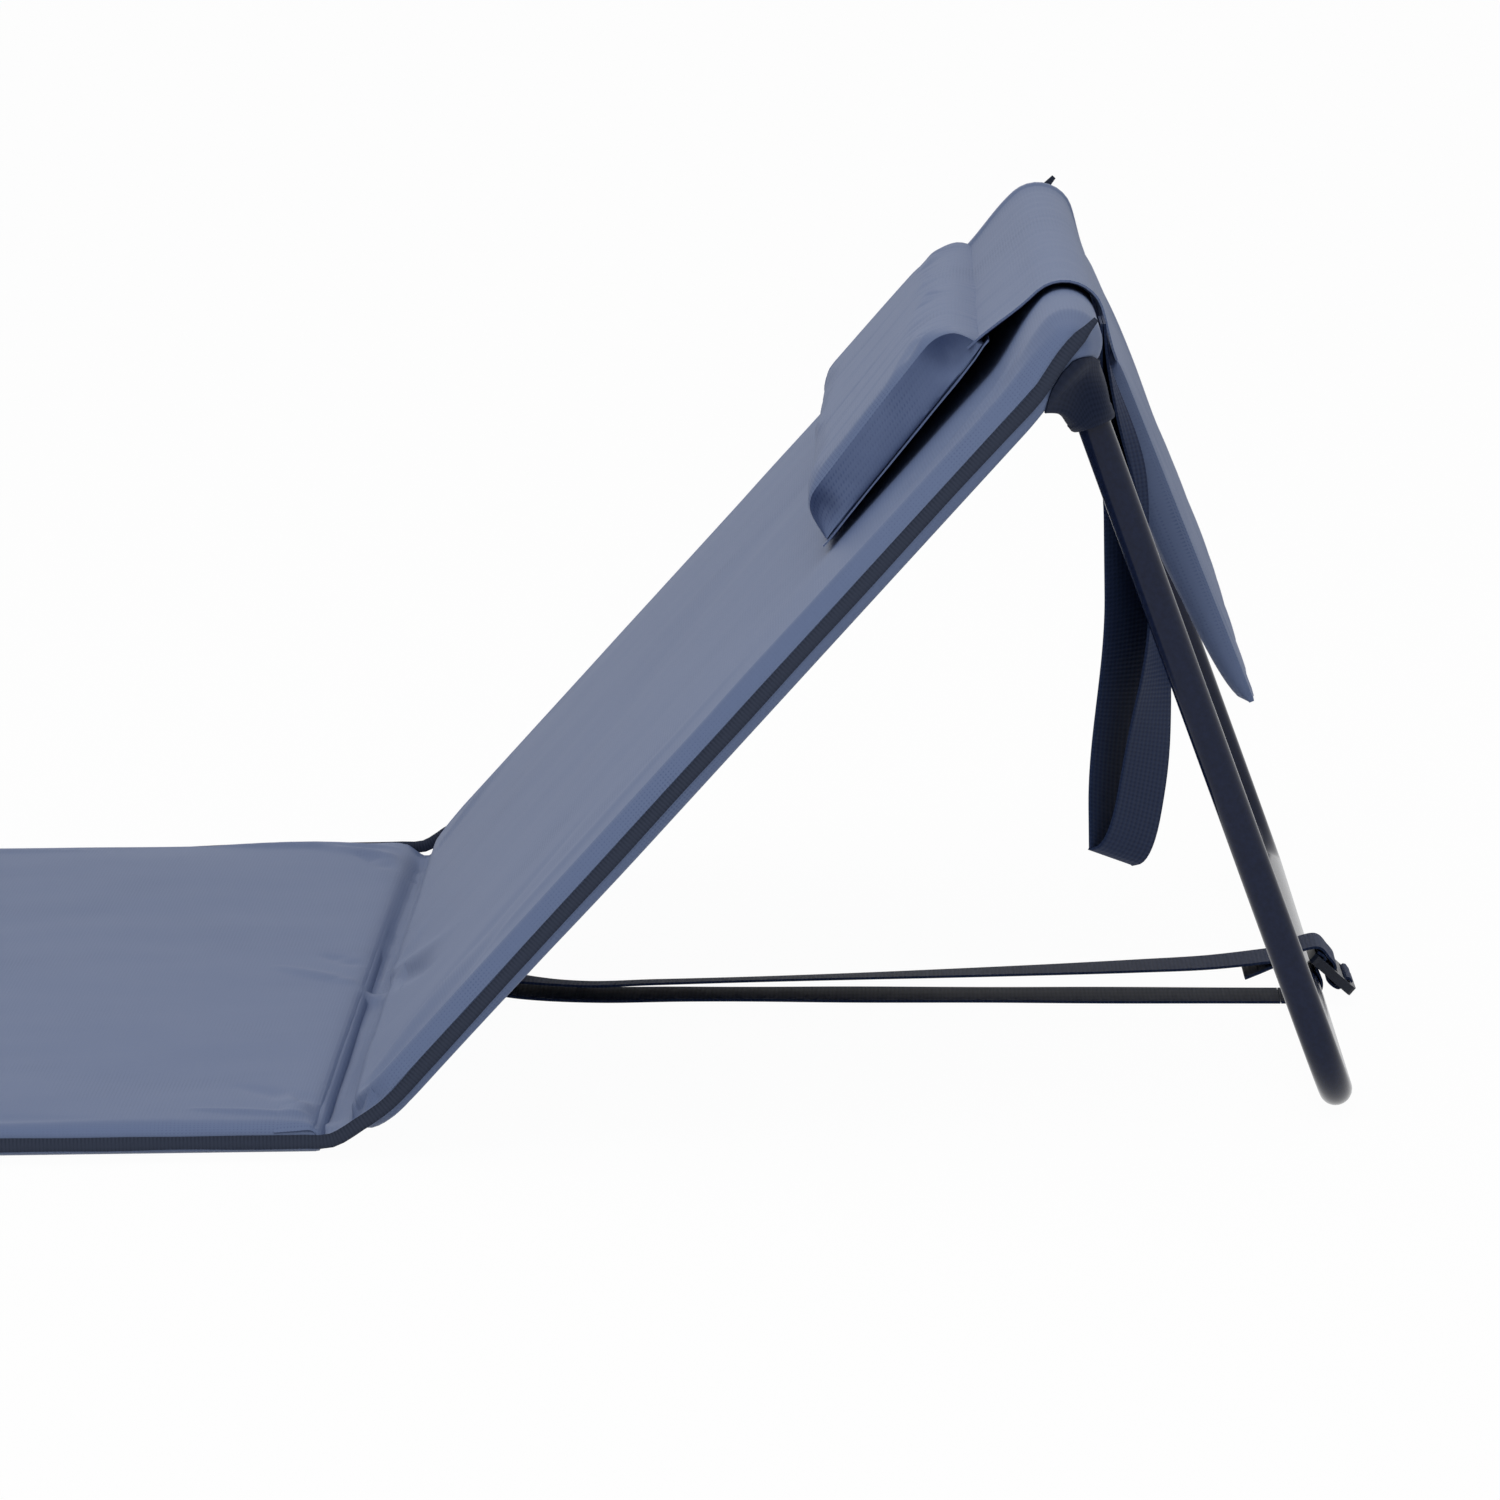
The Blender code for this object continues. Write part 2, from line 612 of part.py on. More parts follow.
def plate(word, side, grow=0.0):
    curve, along = plate_curve("plate", grow)
    helper = bpy.data.objects.new("plate", curve)
    CUTTERS.objects.link(helper)
    bpy.context.view_layer.update()
    graph = bpy.context.evaluated_depsgraph_get()
    mesh = bpy.data.meshes.new_from_object(helper.evaluated_get(graph))
    bpy.data.objects.remove(helper, do_unlink=True)
    made = bmesh.new()
    made.from_mesh(mesh)
    bmesh.ops.remove_doubles(made, verts=made.verts, dist=0.00001)
    turn = Matrix((along, along.cross(ACROSS), ACROSS)).transposed().to_4x4()
    place = Matrix.Translation(TOP + ACROSS * side * (PLATE_Y0 + PLATE_T / 2))
    bmesh.ops.transform(made, matrix=place @ turn, verts=made.verts)
    bmesh.ops.recalc_face_normals(made, faces=made.faces)
    made.to_mesh(mesh)
    made.free()
    if not grow:
        return keep(mesh, f"pivot_plate_{word}", BLACK_STEEL, "backrest")
    cutter = keep(mesh, f"slit_cutter_{word}", BLACK_STEEL, None, CUTTERS)
    cutter.display_type = "WIRE"
    cutter.hide_render = True
    return cutter


def cut(obj, cutter):
    hole = obj.modifiers.new("cut", "BOOLEAN")
    hole.operation = "DIFFERENCE"
    hole.solver = "EXACT"
    hole.object = cutter


SLITS = {}
for word, side in SIDES:
    plate(word, side)
    SLITS[word] = plate(word, side, 0.0006)
    cut(back_cover, SLITS[word])

PIN_IN = LEG_Y - LEG_R - 0.0004
PIN_OUT = PLATE_Y0 + PLATE_T + 0.0003
axis_xz = (PIVOT.x, PIVOT.z)
for word, side in SIDES:
    lathe(f"pivot_rivet_{word}", [(axis_xz, [
        (0.0, side * (PIN_IN - RIVET_HEAD_T)),
        (RIVET_HEAD_R * 0.7, side * (PIN_IN - RIVET_HEAD_T)),
        (RIVET_HEAD_R, side * PIN_IN),
        (RIVET_R, side * PIN_IN),
        (RIVET_R, side * PIN_OUT),
        (RIVET_HEAD_R, side * PIN_OUT),
        (RIVET_HEAD_R * 0.7, side * (PIN_OUT + RIVET_HEAD_T)),
        (0.0, side * (PIN_OUT + RIVET_HEAD_T)),
    ])], BARE_STEEL, "backrest")

for word, side in SIDES:
    ring = []
    for step in range(20):
        a = 2 * pi * step / 20
        spoke = Vector((cos(a), 0.0, sin(a)))
        base = PIVOT + ACROSS * side * (LEG_Y + LEG_R + 0.0003)
        ring.append([base + spoke * r for r in ((RIVET_R + 0.0003), 0.0075)])
    flat = keep(grid_mesh(ring, True), f"pivot_washer_{word}", PLASTIC, "backrest")
    if flat.data.polygons[0].normal.y * side > 0:
        flat.data.flip_normals()
    solidify(flat, WASHER_T)

# Cloth cuffs over the pivots, open below for the legs


def cuff(word, side):
    """A sleeve round the top of the leg; its upper rim follows the rear of the backrest cover."""
    rows = []
    forward = Vector((cos(LEG_LEAN), 0.0, sin(LEG_LEAN)))
    front = back_direction(0.0, 1.0)
    middle = PIVOT + ACROSS * side * (LEG_Y + 0.0022)
    for step in range(20):
        a = 2 * pi * step / 20
        spoke = forward * (CUFF_X * cos(a)) + ACROSS * (CUFF_Y * sin(a))
        behind = back_half(BACK_LENGTH - 0.010, middle.y + spoke.y) + CUFF_CLEAR
        rim = -(behind + PIVOT_N + front.dot(spoke)) / front.dot(LEG_DOWN)
        low = CUFF_DOWN - rim
        row = []
        for down, wide in ((rim, 1.0), (rim + low * 0.3, 1.0), (rim + low * 0.7, 1.0), (CUFF_DOWN, 1.06)):
            row.append(middle + LEG_DOWN * down + spoke * wide)
        rows.append(row)
    mesh = outward(grid_mesh(rows, True), middle)
    return solidify(keep(mesh, f"pivot_cuff_{word}", BLACK_TAPE, "backrest"), FABRIC)


for word, side in SIDES:
    cut(cuff(word, side), SLITS[word])

# Adjusting strap: a lower and an upper run from the foot of the backrest, and a wrap round the bar of the leg
WRAP_R = LEG_R + STRAP_GAP + WEB_T / 2
STRAP_Y0 = STRAP_Y - WEB_W / 2
STRAP_Y1 = STRAP_Y + WEB_W / 2
LOW_Z = BAR.z - WRAP_R
HIGH_Z = BAR.z + WRAP_R
RUN_END = BAR.x - STRAP_CUT


def ribbon(name, path, look, body, thickness=WEB_T):
    ys = [STRAP_Y0, STRAP_Y, STRAP_Y1]
    rows = [[Vector((x, y, z)) for y in ys] for x, z in path]
    return sheet(name, rows, thickness, look, body, 0.0)


# Each run starts with a sewn tab on the rear of the cover and leaves it at the top of the tab.
TAB_N = -(BACK_HALF + FIT + WEB_T / 2)
TABS = {"low": (0.012, 0.022), "high": (0.0245, 0.0310)}


def tab(which):
    return [(p.x, p.z) for p in (back_point(s, 0.0, TAB_N) for s in TABS[which])]


low_path = tab("low")
leave_x, leave_z = low_path[-1]
low_rest = LOW_Z + 0.0006
for along, down in ((0.008, 0.0), (0.022, 0.30), (0.050, 0.74), (0.095, 0.97), (0.15, 1.0)):
    low_path.append((leave_x + along, leave_z + (low_rest - leave_z) * down))
low_x = low_path[-1][0]
low_path += [(low_x + (RUN_END - low_x) * k / 3, low_rest + (LOW_Z - low_rest) * k / 3) for k in range(1, 4)]
ribbon("strap_lower_run", low_path, WEBBING, "backrest")
high_path = tab("high")
leave_x, leave_z = high_path[-1]
for k in range(1, 13):
    t = k / 12
    sag = 0.0055 * sin(pi * t)
    high_path.append((leave_x + (RUN_END - leave_x) * t, leave_z + (HIGH_Z + 0.0036 - leave_z) * t - sag))
ribbon("strap_upper_run", high_path, WEBBING, "backrest")

# The end under the bar hooks through the first slot of the buckle; the end over the bar goes down through the
# second slot and up through the third.
BUCKLE_X = BUCKLE_DX + HX
BUCKLE_Z = BAR.z + BUCKLE_UP
SLOT = 0.0042
SLOT_PITCH = 0.0085
SLOT_START = 0.0045
SLOTS_X = [SLOT_START + SLOT / 2 + k * SLOT_PITCH for k in range(3)]
FACE = BUCKLE_T / 2 + FIT + WEB_T / 2


def buckle_point(along, up):
    c = cos(BUCKLE_TILT)
    s = sin(BUCKLE_TILT)
    return BUCKLE_X + along * c - up * s, BUCKLE_Z + along * s + up * c


wrap_path = [(RUN_END + 0.0004, LOW_Z), (BAR.x - 0.008, LOW_Z)]
for k in range(8):
    a = -pi / 2 + pi * 2 / 3 * k / 7
    wrap_path.append((BAR.x + WRAP_R * cos(a), BAR.z + WRAP_R * sin(a)))
wrap_path += [buckle_point(SLOTS_X[0], -FACE), buckle_point(SLOTS_X[0], FACE)]
wrap_path += [buckle_point(SLOT_START * 0.2, FACE)]
ribbon("strap_bar_wrap", wrap_path, WEBBING, "buckle")
tail_path = [(RUN_END + 0.0004, HIGH_Z + 0.0036), (BAR.x - 0.006, HIGH_Z + 0.0080)]
tail_path += [buckle_point(along, FACE + WEB_T + 2 * FIT) for along in (-0.001, SLOTS_X[0] + WEB_T)]
tail_path += [buckle_point(SLOTS_X[1], FACE)]
tail_path += [buckle_point(SLOTS_X[1], -FACE), buckle_point(SLOTS_X[2], -FACE), buckle_point(SLOTS_X[2], FACE)]
tail_path += [buckle_point(BUCKLE_L * 0.88, FACE)]
ribbon("strap_upper_wrap", tail_path, WEBBING, "buckle")
under = [(RUN_END - 0.0205, HIGH_Z - 0.0063), (RUN_END - 0.012, HIGH_Z - 0.0030)]
under += [(RUN_END - 0.001, HIGH_Z + 0.0016)]
ribbon("strap_tail_end", under, WEBBING, "backrest")

# Ladder-lock buckle behind the bar, threaded by the strap ends
half_w = WEB_W / 2 + BUCKLE_MARGIN
buckle_curve = bpy.data.curves.new("buckle", "CURVE")
buckle_curve.dimensions = "2D"
buckle_curve.fill_mode = "BOTH"
buckle_curve.extrude = BUCKLE_T / 2


def buckle_loop(x0, x1, half, round_by):
    line = buckle_curve.splines.new("POLY")
    points = []
    for cx, cy, start in ((x1 - round_by, half - round_by, 0.0), (x0 + round_by, half - round_by, 90.0),
                          (x0 + round_by, round_by - half, 180.0), (x1 - round_by, round_by - half, 270.0)):
        for k in range(4):
            a = radians(start + 30 * k)
            points.append((cx + round_by * cos(a), cy + round_by * sin(a)))
    line.points.add(len(points) - 1)
    for knot, (px, py) in zip(line.points, points):
        knot.co = (px, py, 0.0, 1.0)
    line.use_cyclic_u = True


buckle_loop(0.0, BUCKLE_L, half_w, 0.004)
for slot in range(3):
    x0 = SLOT_START + slot * SLOT_PITCH
    buckle_loop(x0, x0 + SLOT, WEB_W / 2 + 0.001, 0.0012)
helper = bpy.data.objects.new("buckle", buckle_curve)
CUTTERS.objects.link(helper)
bpy.context.view_layer.update()
buckle_mesh = bpy.data.meshes.new_from_object(helper.evaluated_get(bpy.context.evaluated_depsgraph_get()))
bpy.data.objects.remove(helper, do_unlink=True)
made = bmesh.new()
made.from_mesh(buckle_mesh)
bmesh.ops.remove_doubles(made, verts=made.verts, dist=0.00001)
turn = Matrix.Rotation(-BUCKLE_TILT, 4, "Y")
bmesh.ops.transform(made, matrix=Matrix.Translation((BUCKLE_X, STRAP_Y, BUCKLE_Z)) @ turn, verts=made.verts)
bmesh.ops.recalc_face_normals(made, faces=made.faces)
made.to_mesh(buckle_mesh)
made.free()
keep(buckle_mesh, "ladder_lock_buckle", PLASTIC, "buckle")

# Headrest: a long cushion in front, a flap over the top bar and a flat weighted pouch behind
AXES["headrest"] = axis_empty("headrest_axis", TOP)
FLAP_R = ROLL_R + FIT + FLAP_T / 2 + 0.0002
PILLOW_N0 = BACK_HALF + PILLOW_LIFT
PILLOW_HIGH = PILLOW_LOW + PILLOW_TALL
POUCH_DOWN = Vector((sin(POUCH_LEAN), 0.0, -cos(POUCH_LEAN)))
POUCH_OUT = Vector((cos(POUCH_LEAN), 0.0, sin(POUCH_LEAN)))
flap_off = TOP + POUCH_OUT * FLAP_R
AXES["pouch"] = axis_empty("pouch_swing_axis", flap_off + POUCH_DOWN * (POUCH_TOP - 0.0003))

REST_YS = both_sides([0.0, 0.006, 0.02, 0.05, REST_HALF * 0.3, REST_HALF * 0.52, REST_HALF], REST_HALF)


def front_lift(s):
    """Height of the front of the backrest cover under the flap."""
    return back_half(s, 0.0) + FIT + FLAP_T / 2 + 0.0002


flap_start = [PILLOW_HIGH - 0.014, PILLOW_HIGH - 0.004, BACK_LENGTH - 0.0285, BACK_LENGTH - 0.014]
flap_path = [back_point(s, 0.0, front_lift(s)) for s in flap_start]
for k in range(8):
    a = pi / 2 - (pi / 2 + RECLINE - POUCH_LEAN) * k / 7
    flap_path.append(back_point(BACK_LENGTH + FLAP_R * cos(a), 0.0, FLAP_R * sin(a)))
for d in (0.012, POUCH_TOP - 0.0006):
    flap_path.append(flap_off + POUCH_DOWN * d)
flap_rows = [[p + ACROSS * y for y in REST_YS] for p in flap_path]
sheet("headrest_flap", flap_rows, FLAP_T, GREY_FABRIC, "headrest", 0.0)


def cushion_height(t, y, tall, thick, edge_t, edge_y):
    """Thickness of a sewn cushion: full in the middle, drawn in to the seam all round."""
    across = min(1.0, (REST_HALF - abs(y)) / edge_y)
    along = min(1.0, min(t, tall - t) / edge_t)
    lift = sqrt(max(0.0, 1 - (1 - across) ** 2)) * sqrt(max(0.0, 1 - (1 - along) ** 2))
    return thick * (0.06 + 0.94 * lift)


def pillow_shape(t, y):
    """Front of the cushion: fullest in the middle and towards its top, thinner at its ends."""
    full = PILLOW_END + (PILLOW_THICK - PILLOW_END) * (1 - (y / REST_HALF) ** 2)
    lift = cushion_height(t, y, PILLOW_TALL, full, PILLOW_TALL * 0.24, 0.010)
    return lift * (0.82 + 0.32 * t / PILLOW_TALL)


PILLOW_TS = [PILLOW_TALL * k for k in (0.0, 0.03, 0.10, 0.21, 0.39, 0.60, 0.79, 0.90, 0.97, 1.0)]


def pillow_back(t):
    return front_lift(PILLOW_LOW + t) + FLAP_T / 2 + FIT + 0.0006


pillow_rows = [[back_point(PILLOW_LOW + t, y, pillow_back(t) + FABRIC * 2 - 0.0004 + pillow_shape(t, y))
                for y in REST_YS] for t in PILLOW_TS]
sheet("pillow_front_cover", pillow_rows, FABRIC, GREY_FABRIC, "headrest")
back_ts = [PILLOW_TALL * k for k in (0.0, 0.21, 0.60, 0.79, 0.90, 1.0)]
pillow_back_rows = [[back_point(PILLOW_LOW + t, y, pillow_back(t)) for y in (-REST_HALF, 0.0, REST_HALF)]
                    for t in back_ts]
sheet("pillow_back_cover", pillow_back_rows, FABRIC, GREY_FABRIC, "headrest", 1.0)
FILL_YS = both_sides([0.016, 0.03, 0.055, REST_HALF * 0.32, REST_HALF * 0.54, REST_HALF], REST_HALF)
FILL_TS = [PILLOW_TALL * k for k in (0.085, 0.155, 0.28, 0.49, 0.70, 0.845, 0.915)]
fill_top = [[back_point(PILLOW_LOW + t, y, pillow_back(t) + pillow_shape(t, y) - 0.0022) for y in FILL_YS]
            for t in FILL_TS]
fill_low = [[back_point(PILLOW_LOW + t, y, pillow_back(t) + FABRIC + 0.00045) for y in FILL_YS] for t in FILL_TS]
slab("pillow_filling", fill_top, fill_low, FILLING, "headrest")

POUCH_TS = [POUCH_LENGTH * k for k in (0.0, 0.018, 0.062, 0.155, 0.355, 0.62, 0.845, 0.942, 0.982, 1.0)]


def pouch_point(t, y, w):
    return flap_off + POUCH_DOWN * (POUCH_TOP + t) + POUCH_OUT * w + ACROSS * y


def pouch_shape(t, y):
    return cushion_height(t, y, POUCH_LENGTH, POUCH_THICK / 2, POUCH_LENGTH * 0.22, 0.05)


for name, way in (("pouch_outer_cover", 1.0), ("pouch_inner_cover", -1.0)):
    rows = [[pouch_point(t, y, way * (0.0010 + pouch_shape(t, y))) for y in REST_YS] for t in POUCH_TS]
    if way < 0:
        rows = rows[::-1]
    sheet(name, rows, FABRIC, GREY_FABRIC, "pouch")
POUCH_FILL_TS = POUCH_TS[2:-2]
POUCH_FILL_YS = REST_YS[2:-2]
pouch_fill = []
for way in (1.0, -1.0):
    pouch_fill.append([[pouch_point(t, y, way * (pouch_shape(t, y) - 0.0003)) for y in POUCH_FILL_YS]
                       for t in POUCH_FILL_TS])
slab("pouch_filling", pouch_fill[0], pouch_fill[1], FILLING, "pouch")

# Carrying loop: one length of webbing, both its ends sewn to the rear of the near end of the top roll
LOOP_X = TOP.x + ROLL_R + FIT + WEB_T + FIT / 2
LOOP_FOOT = LOOP_GAP * 0.82
loop_top = Vector((LOOP_X, LOOP_Y, TOP.z + 0.004))
AXES["carry"] = axis_empty("carry_loop_axis", loop_top)


def loop_row(t, out, drop):
    """A row of the webbing: t is the way down, out the offset from the middle of the loop."""
    turn = LOOP_TURN * ease((t - 0.04) / 0.5)
    wide = Vector((sin(turn), cos(turn), 0.0)) * (LOOP_W / 2)
    middle = loop_top + Vector((cos(turn), -sin(turn), 0.0)) * out + Vector((LOOP_BACK * ease(t), 0.0, -drop))
    return [middle - wide, middle, middle + wide]


STRAIGHT = LOOP_DROP - LOOP_FOOT
LOOP_TS = [0.0, 0.04, 0.10, 0.18, 0.28, 0.40, 0.54, 0.75, 1.0]
LOOP_OUT = [(WEB_T + FIT) / 2 + (LOOP_GAP - WEB_T - FIT) / 2 * ease((t - 0.04) / 0.96) for t in LOOP_TS]
loop_rows = [loop_row(t, out, STRAIGHT * t) for t, out in zip(LOOP_TS, LOOP_OUT)]
for k in range(1, 8):
    a = pi * k / 8
    loop_rows.append(loop_row(1.0, LOOP_GAP / 2 * cos(a), STRAIGHT + LOOP_FOOT * sin(a)))
loop_rows += [loop_row(t, -out, STRAIGHT * t) for t, out in zip(reversed(LOOP_TS), reversed(LOOP_OUT))]
sheet("carry_loop", loop_rows, WEB_T, WEBBING, "carry", 0.0)
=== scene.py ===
"""Looks of the double beach lounger: cloth, padding, bindings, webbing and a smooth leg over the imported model, with
a white studio and a camera at the photograph's angle. Metres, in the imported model's own frame."""

from math import cos, exp, pi, radians, sin, sqrt

import bmesh
import bpy
from mathutils import Matrix, Vector, noise


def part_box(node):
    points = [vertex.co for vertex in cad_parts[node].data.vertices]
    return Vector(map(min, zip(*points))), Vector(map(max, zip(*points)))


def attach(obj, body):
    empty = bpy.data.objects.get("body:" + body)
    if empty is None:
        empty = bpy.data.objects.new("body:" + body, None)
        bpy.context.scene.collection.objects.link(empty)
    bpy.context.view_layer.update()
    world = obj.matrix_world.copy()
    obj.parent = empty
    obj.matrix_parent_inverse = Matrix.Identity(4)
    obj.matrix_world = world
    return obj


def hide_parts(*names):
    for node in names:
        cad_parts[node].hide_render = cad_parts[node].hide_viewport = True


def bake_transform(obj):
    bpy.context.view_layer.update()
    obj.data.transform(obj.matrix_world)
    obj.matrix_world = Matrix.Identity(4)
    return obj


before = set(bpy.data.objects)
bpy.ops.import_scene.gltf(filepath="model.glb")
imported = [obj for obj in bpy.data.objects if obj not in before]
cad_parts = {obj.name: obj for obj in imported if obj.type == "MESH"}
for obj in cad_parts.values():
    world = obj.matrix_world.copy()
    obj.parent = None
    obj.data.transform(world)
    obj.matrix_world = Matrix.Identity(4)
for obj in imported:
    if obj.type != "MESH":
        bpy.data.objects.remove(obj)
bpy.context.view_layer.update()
bpy.ops.object.select_all(action="DESELECT")
SCENE = bpy.context.scene

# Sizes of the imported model, repeated from its source; a few soft pieces are trimmed to the photograph
WIDTH = 1.05
SEAT_LENGTH = 0.60
FOOT_LENGTH = 0.45
BACK_LENGTH = 0.565
RECLINE = radians(46.9)
LEG_LEAN = radians(19.2)
MAT_HALF = 0.010
MAT_CROWN = 0.0025
MAT_EDGE = 0.014
SEAM_HALF = 0.0016
MAT_TAPE = 0.0105
TAPE = 0.0012
FIT = 0.0004
FABRIC = 0.0008
HINGE_CLEAR = 0.0125
HINGE_Z = 0.0115
FOLD_GAP = 0.006
BACK_HALF = 0.0105
BACK_EDGE = 0.012
ROLL_R = 0.0175
ROLL_BLEND = 0.05
EAR_LENGTH = 0.020
LEG_R = 0.009
LEG_WALL = 0.0012
LEG_INSET = 0.070
LEG_BEND = 0.05
LEG_TOP = 0.011
PIVOT_S = -0.0190
PIVOT_N = -0.0300
CUFF_X = 0.0135
CUFF_Y = 0.0195
CUFF_CLEAR = 0.0009
CUFF_DOWN = 0.013
CUFF_FLARE = 0.046
WEB_W = 0.050
WEB_T = 0.0014
STRAP_GAP = 0.0005
STRAP_Y = -0.03
STRAP_CUT = 0.0135
GROUND_CLEAR = 0.0003
BUCKLE_BACK = 0.005
BUCKLE_UP = 0.0165
BUCKLE_L = 0.031
BUCKLE_T = 0.0055
BUCKLE_TILT = radians(-42.0)
REST_INSET = 0.155
PILLOW_DROP = 0.173
PILLOW_TALL = 0.135
PILLOW_NEAR = 0.026
PILLOW_FAR = 0.017
FLAP_T = 0.0012
POUCH_LENGTH = 0.199
POUCH_THICK = 0.013
POUCH_LEAN = radians(21.0)
POUCH_TOP = 0.030
LOOP_W = 0.050
LOOP_DROP = 0.289
LOOP_INSET = 0.1175
LOOP_GAP = 0.0165
LOOP_TURN = radians(29.0)

# Places that follow from them
HALF = WIDTH / 2
LEG_Y = HALF - LEG_INSET
REST_HALF = HALF - REST_INSET
PILLOW_LOW = BACK_LENGTH - PILLOW_DROP
LOOP_Y = LOOP_INSET - HALF
SKIN_HALF = HALF - TAPE - FIT
C = cos(RECLINE)
S = sin(RECLINE)
SEAT_X0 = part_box("seat_top_cover")[0][0]
SEAT_X1 = SEAT_X0 + SEAT_LENGTH
HX = SEAT_X1 + HINGE_CLEAR
FOOT_X1 = SEAT_X0 - FOLD_GAP
FOOT_X0 = FOOT_X1 - FOOT_LENGTH
BAR_Z = LEG_R + STRAP_GAP + WEB_T + GROUND_CLEAR
ACROSS = Vector((0.0, 1.0, 0.0))
UPRIGHT = Vector((0.0, 0.0, 1.0))
LEG_DOWN = Vector((sin(LEG_LEAN), 0.0, -cos(LEG_LEAN)))
SIDES = (("left", -1), ("right", 1))


def back_point(s, y, n):
    """A point of the backrest: s up along it from the hinge, n out of its front."""
    return Vector((HX + s * C - n * S, y, HINGE_Z + s * S + n * C))


BACK_FOOT = back_point(0.0, 0.0, 0.0)
BACK_OUT = back_point(0.0, 0.0, 1.0) - BACK_FOOT
BACK_UP = back_point(1.0, 0.0, 0.0) - BACK_FOOT
TOP = back_point(BACK_LENGTH, 0.0, 0.0)
PIVOT = back_point(BACK_LENGTH + PIVOT_S, 0.0, PIVOT_N)
LEG_LENGTH = (PIVOT.z - BAR_Z) / cos(LEG_LEAN)
BAR = PIVOT + LEG_DOWN * LEG_LENGTH


# Materials


def srgb(code):
    """A hex colour as linear values."""
    parts = [int(code[k:k + 2], 16) / 255 for k in (1, 3, 5)]
    return (*[p / 12.92 if p <= 0.04045 else ((p + 0.055) / 1.055) ** 2.4 for p in parts], 1.0)


def add(look, kind, settings, inputs):
    """Adds a node to a material or world with its settings; an input that is a socket is linked."""
    made = look.node_tree.nodes.new("ShaderNode" + kind)
    for key, value in settings.items():
        setattr(made, key, value)
    for key, value in inputs.items():
        if isinstance(value, bpy.types.NodeSocket):
            look.node_tree.links.new(value, made.inputs[key])
        else:
            made.inputs[key].default_value = value
    return made


def surface(name, **values):
    """A new material and its shader, with the shader's own values set."""
    look = bpy.data.materials.new(name)
    look.use_nodes = True
    shader = look.node_tree.nodes["Principled BSDF"]
    for key, value in values.items():
        shader.inputs[key.replace("_", " ")].default_value = value
    return look, shader


def dress(look, shader, factor, stops, colours, bump):
    """Colours a shader between two stops of a factor, and bumps it by (height, strength, distance)."""
    ramp = add(look, "ValToRGB", {}, {"Fac": factor})
    for element, stop, colour in zip(ramp.color_ramp.elements, stops, colours):
        element.position = stop
        element.color = srgb(colour)
    lift = add(look, "Bump", {}, dict(zip(("Height", "Strength", "Distance"), bump)))
    look.node_tree.links.new(ramp.outputs["Color"], shader.inputs["Base Color"])
    look.node_tree.links.new(lift.outputs["Normal"], shader.inputs["Normal"])
    return look


def bands(pitch):
    """Scale of Blender's wave bands for a real spacing in metres."""
    return 2 * pi / 20 / pitch


# Share of the uneven tone that the darkest and lightest threads take up, and a thread's rise over its pitch
SOIL_LOW = 0.35
SOIL_HIGH = 0.65
THREAD_RISE = 0.2


def woven(name, dark, light, pitch, bump, soil, **values):
    """Cloth of two thread sets that cross, (across, along) apart, drawn on the piece's own UV map in metres."""
    look, shader = surface(name, **values)
    cloth = add(look, "UVMap", {"uv_map": "cloth"}, {}).outputs["UV"]
    spot = add(look, "TexCoord", {}, {}).outputs["Object"]
    warp = add(look, "TexWave", {"bands_direction": "X"}, {"Vector": cloth, "Scale": bands(pitch[0])})
    weft = add(look, "TexWave", {"bands_direction": "Y"}, {"Vector": cloth, "Scale": bands(pitch[1])})
    cross = add(look, "Math", {"operation": "ADD"}, {0: warp.outputs["Fac"], 1: weft.outputs["Fac"]})
    threads = add(look, "Math", {"operation": "MULTIPLY"}, {0: cross.outputs[0], 1: 0.5})
    uneven = add(look, "TexNoise", {}, {"Vector": spot, "Scale": 9.0, "Detail": 4.0, "Roughness": 0.6})
    mixed = add(look, "Math", {"operation": "MULTIPLY_ADD"},
                {0: uneven.outputs["Fac"], 1: soil, 2: threads.outputs[0]})
    stops = (soil * SOIL_LOW, 1.0 + soil * SOIL_HIGH)
    raised = (threads.outputs[0], bump, min(pitch) * THREAD_RISE)
    return dress(look, shader, mixed.outputs[0], stops, (dark, light), raised)


# Plain-woven polyester, coated inside: nearly matt, with a fine grid of threads. Its threads are about 0.5 mm apart,
# drawn at 1.8 mm so that they show in the render.
SLATE = woven("woven_polyester_slate", "#5c6b8d", "#6c7b9d", (0.0018, 0.0021), 0.20, 1.6, Roughness=0.52, IOR=1.5,
              Specular_IOR_Level=0.1)
# Grosgrain binding: dull, with ribs across the tape, 0.9 mm apart, drawn at 2 mm.
BINDING = woven("grosgrain_tape_black", "#232a3a", "#353c4d", (0.0120, 0.0020), 0.5, 0.6, Roughness=0.72, IOR=1.5,
                Specular_IOR_Level=0.15)
# Polyester webbing: flat, close-woven and slightly shiny. Its weave is drawn as ribs, 2.4 mm apart across it and
# 5 mm apart along it.
WEBBING = woven("polyester_webbing_black", "#1c2741", "#293552", (0.0050, 0.0024), 0.5, 0.6, Roughness=0.6, IOR=1.5,
                Specular_IOR_Level=0.06)
# Plain black polyester of the cuffs: matt and darker than the tape, threads drawn at 1.8 mm.
CUFF_CLOTH = woven("woven_polyester_black", "#151d30", "#20283d", (0.0018, 0.0021), 0.3, 0.6, Roughness=0.65, IOR=1.5,
                   Specular_IOR_Level=0.08)


SPECK_STOPS = (0.3, 0.7)


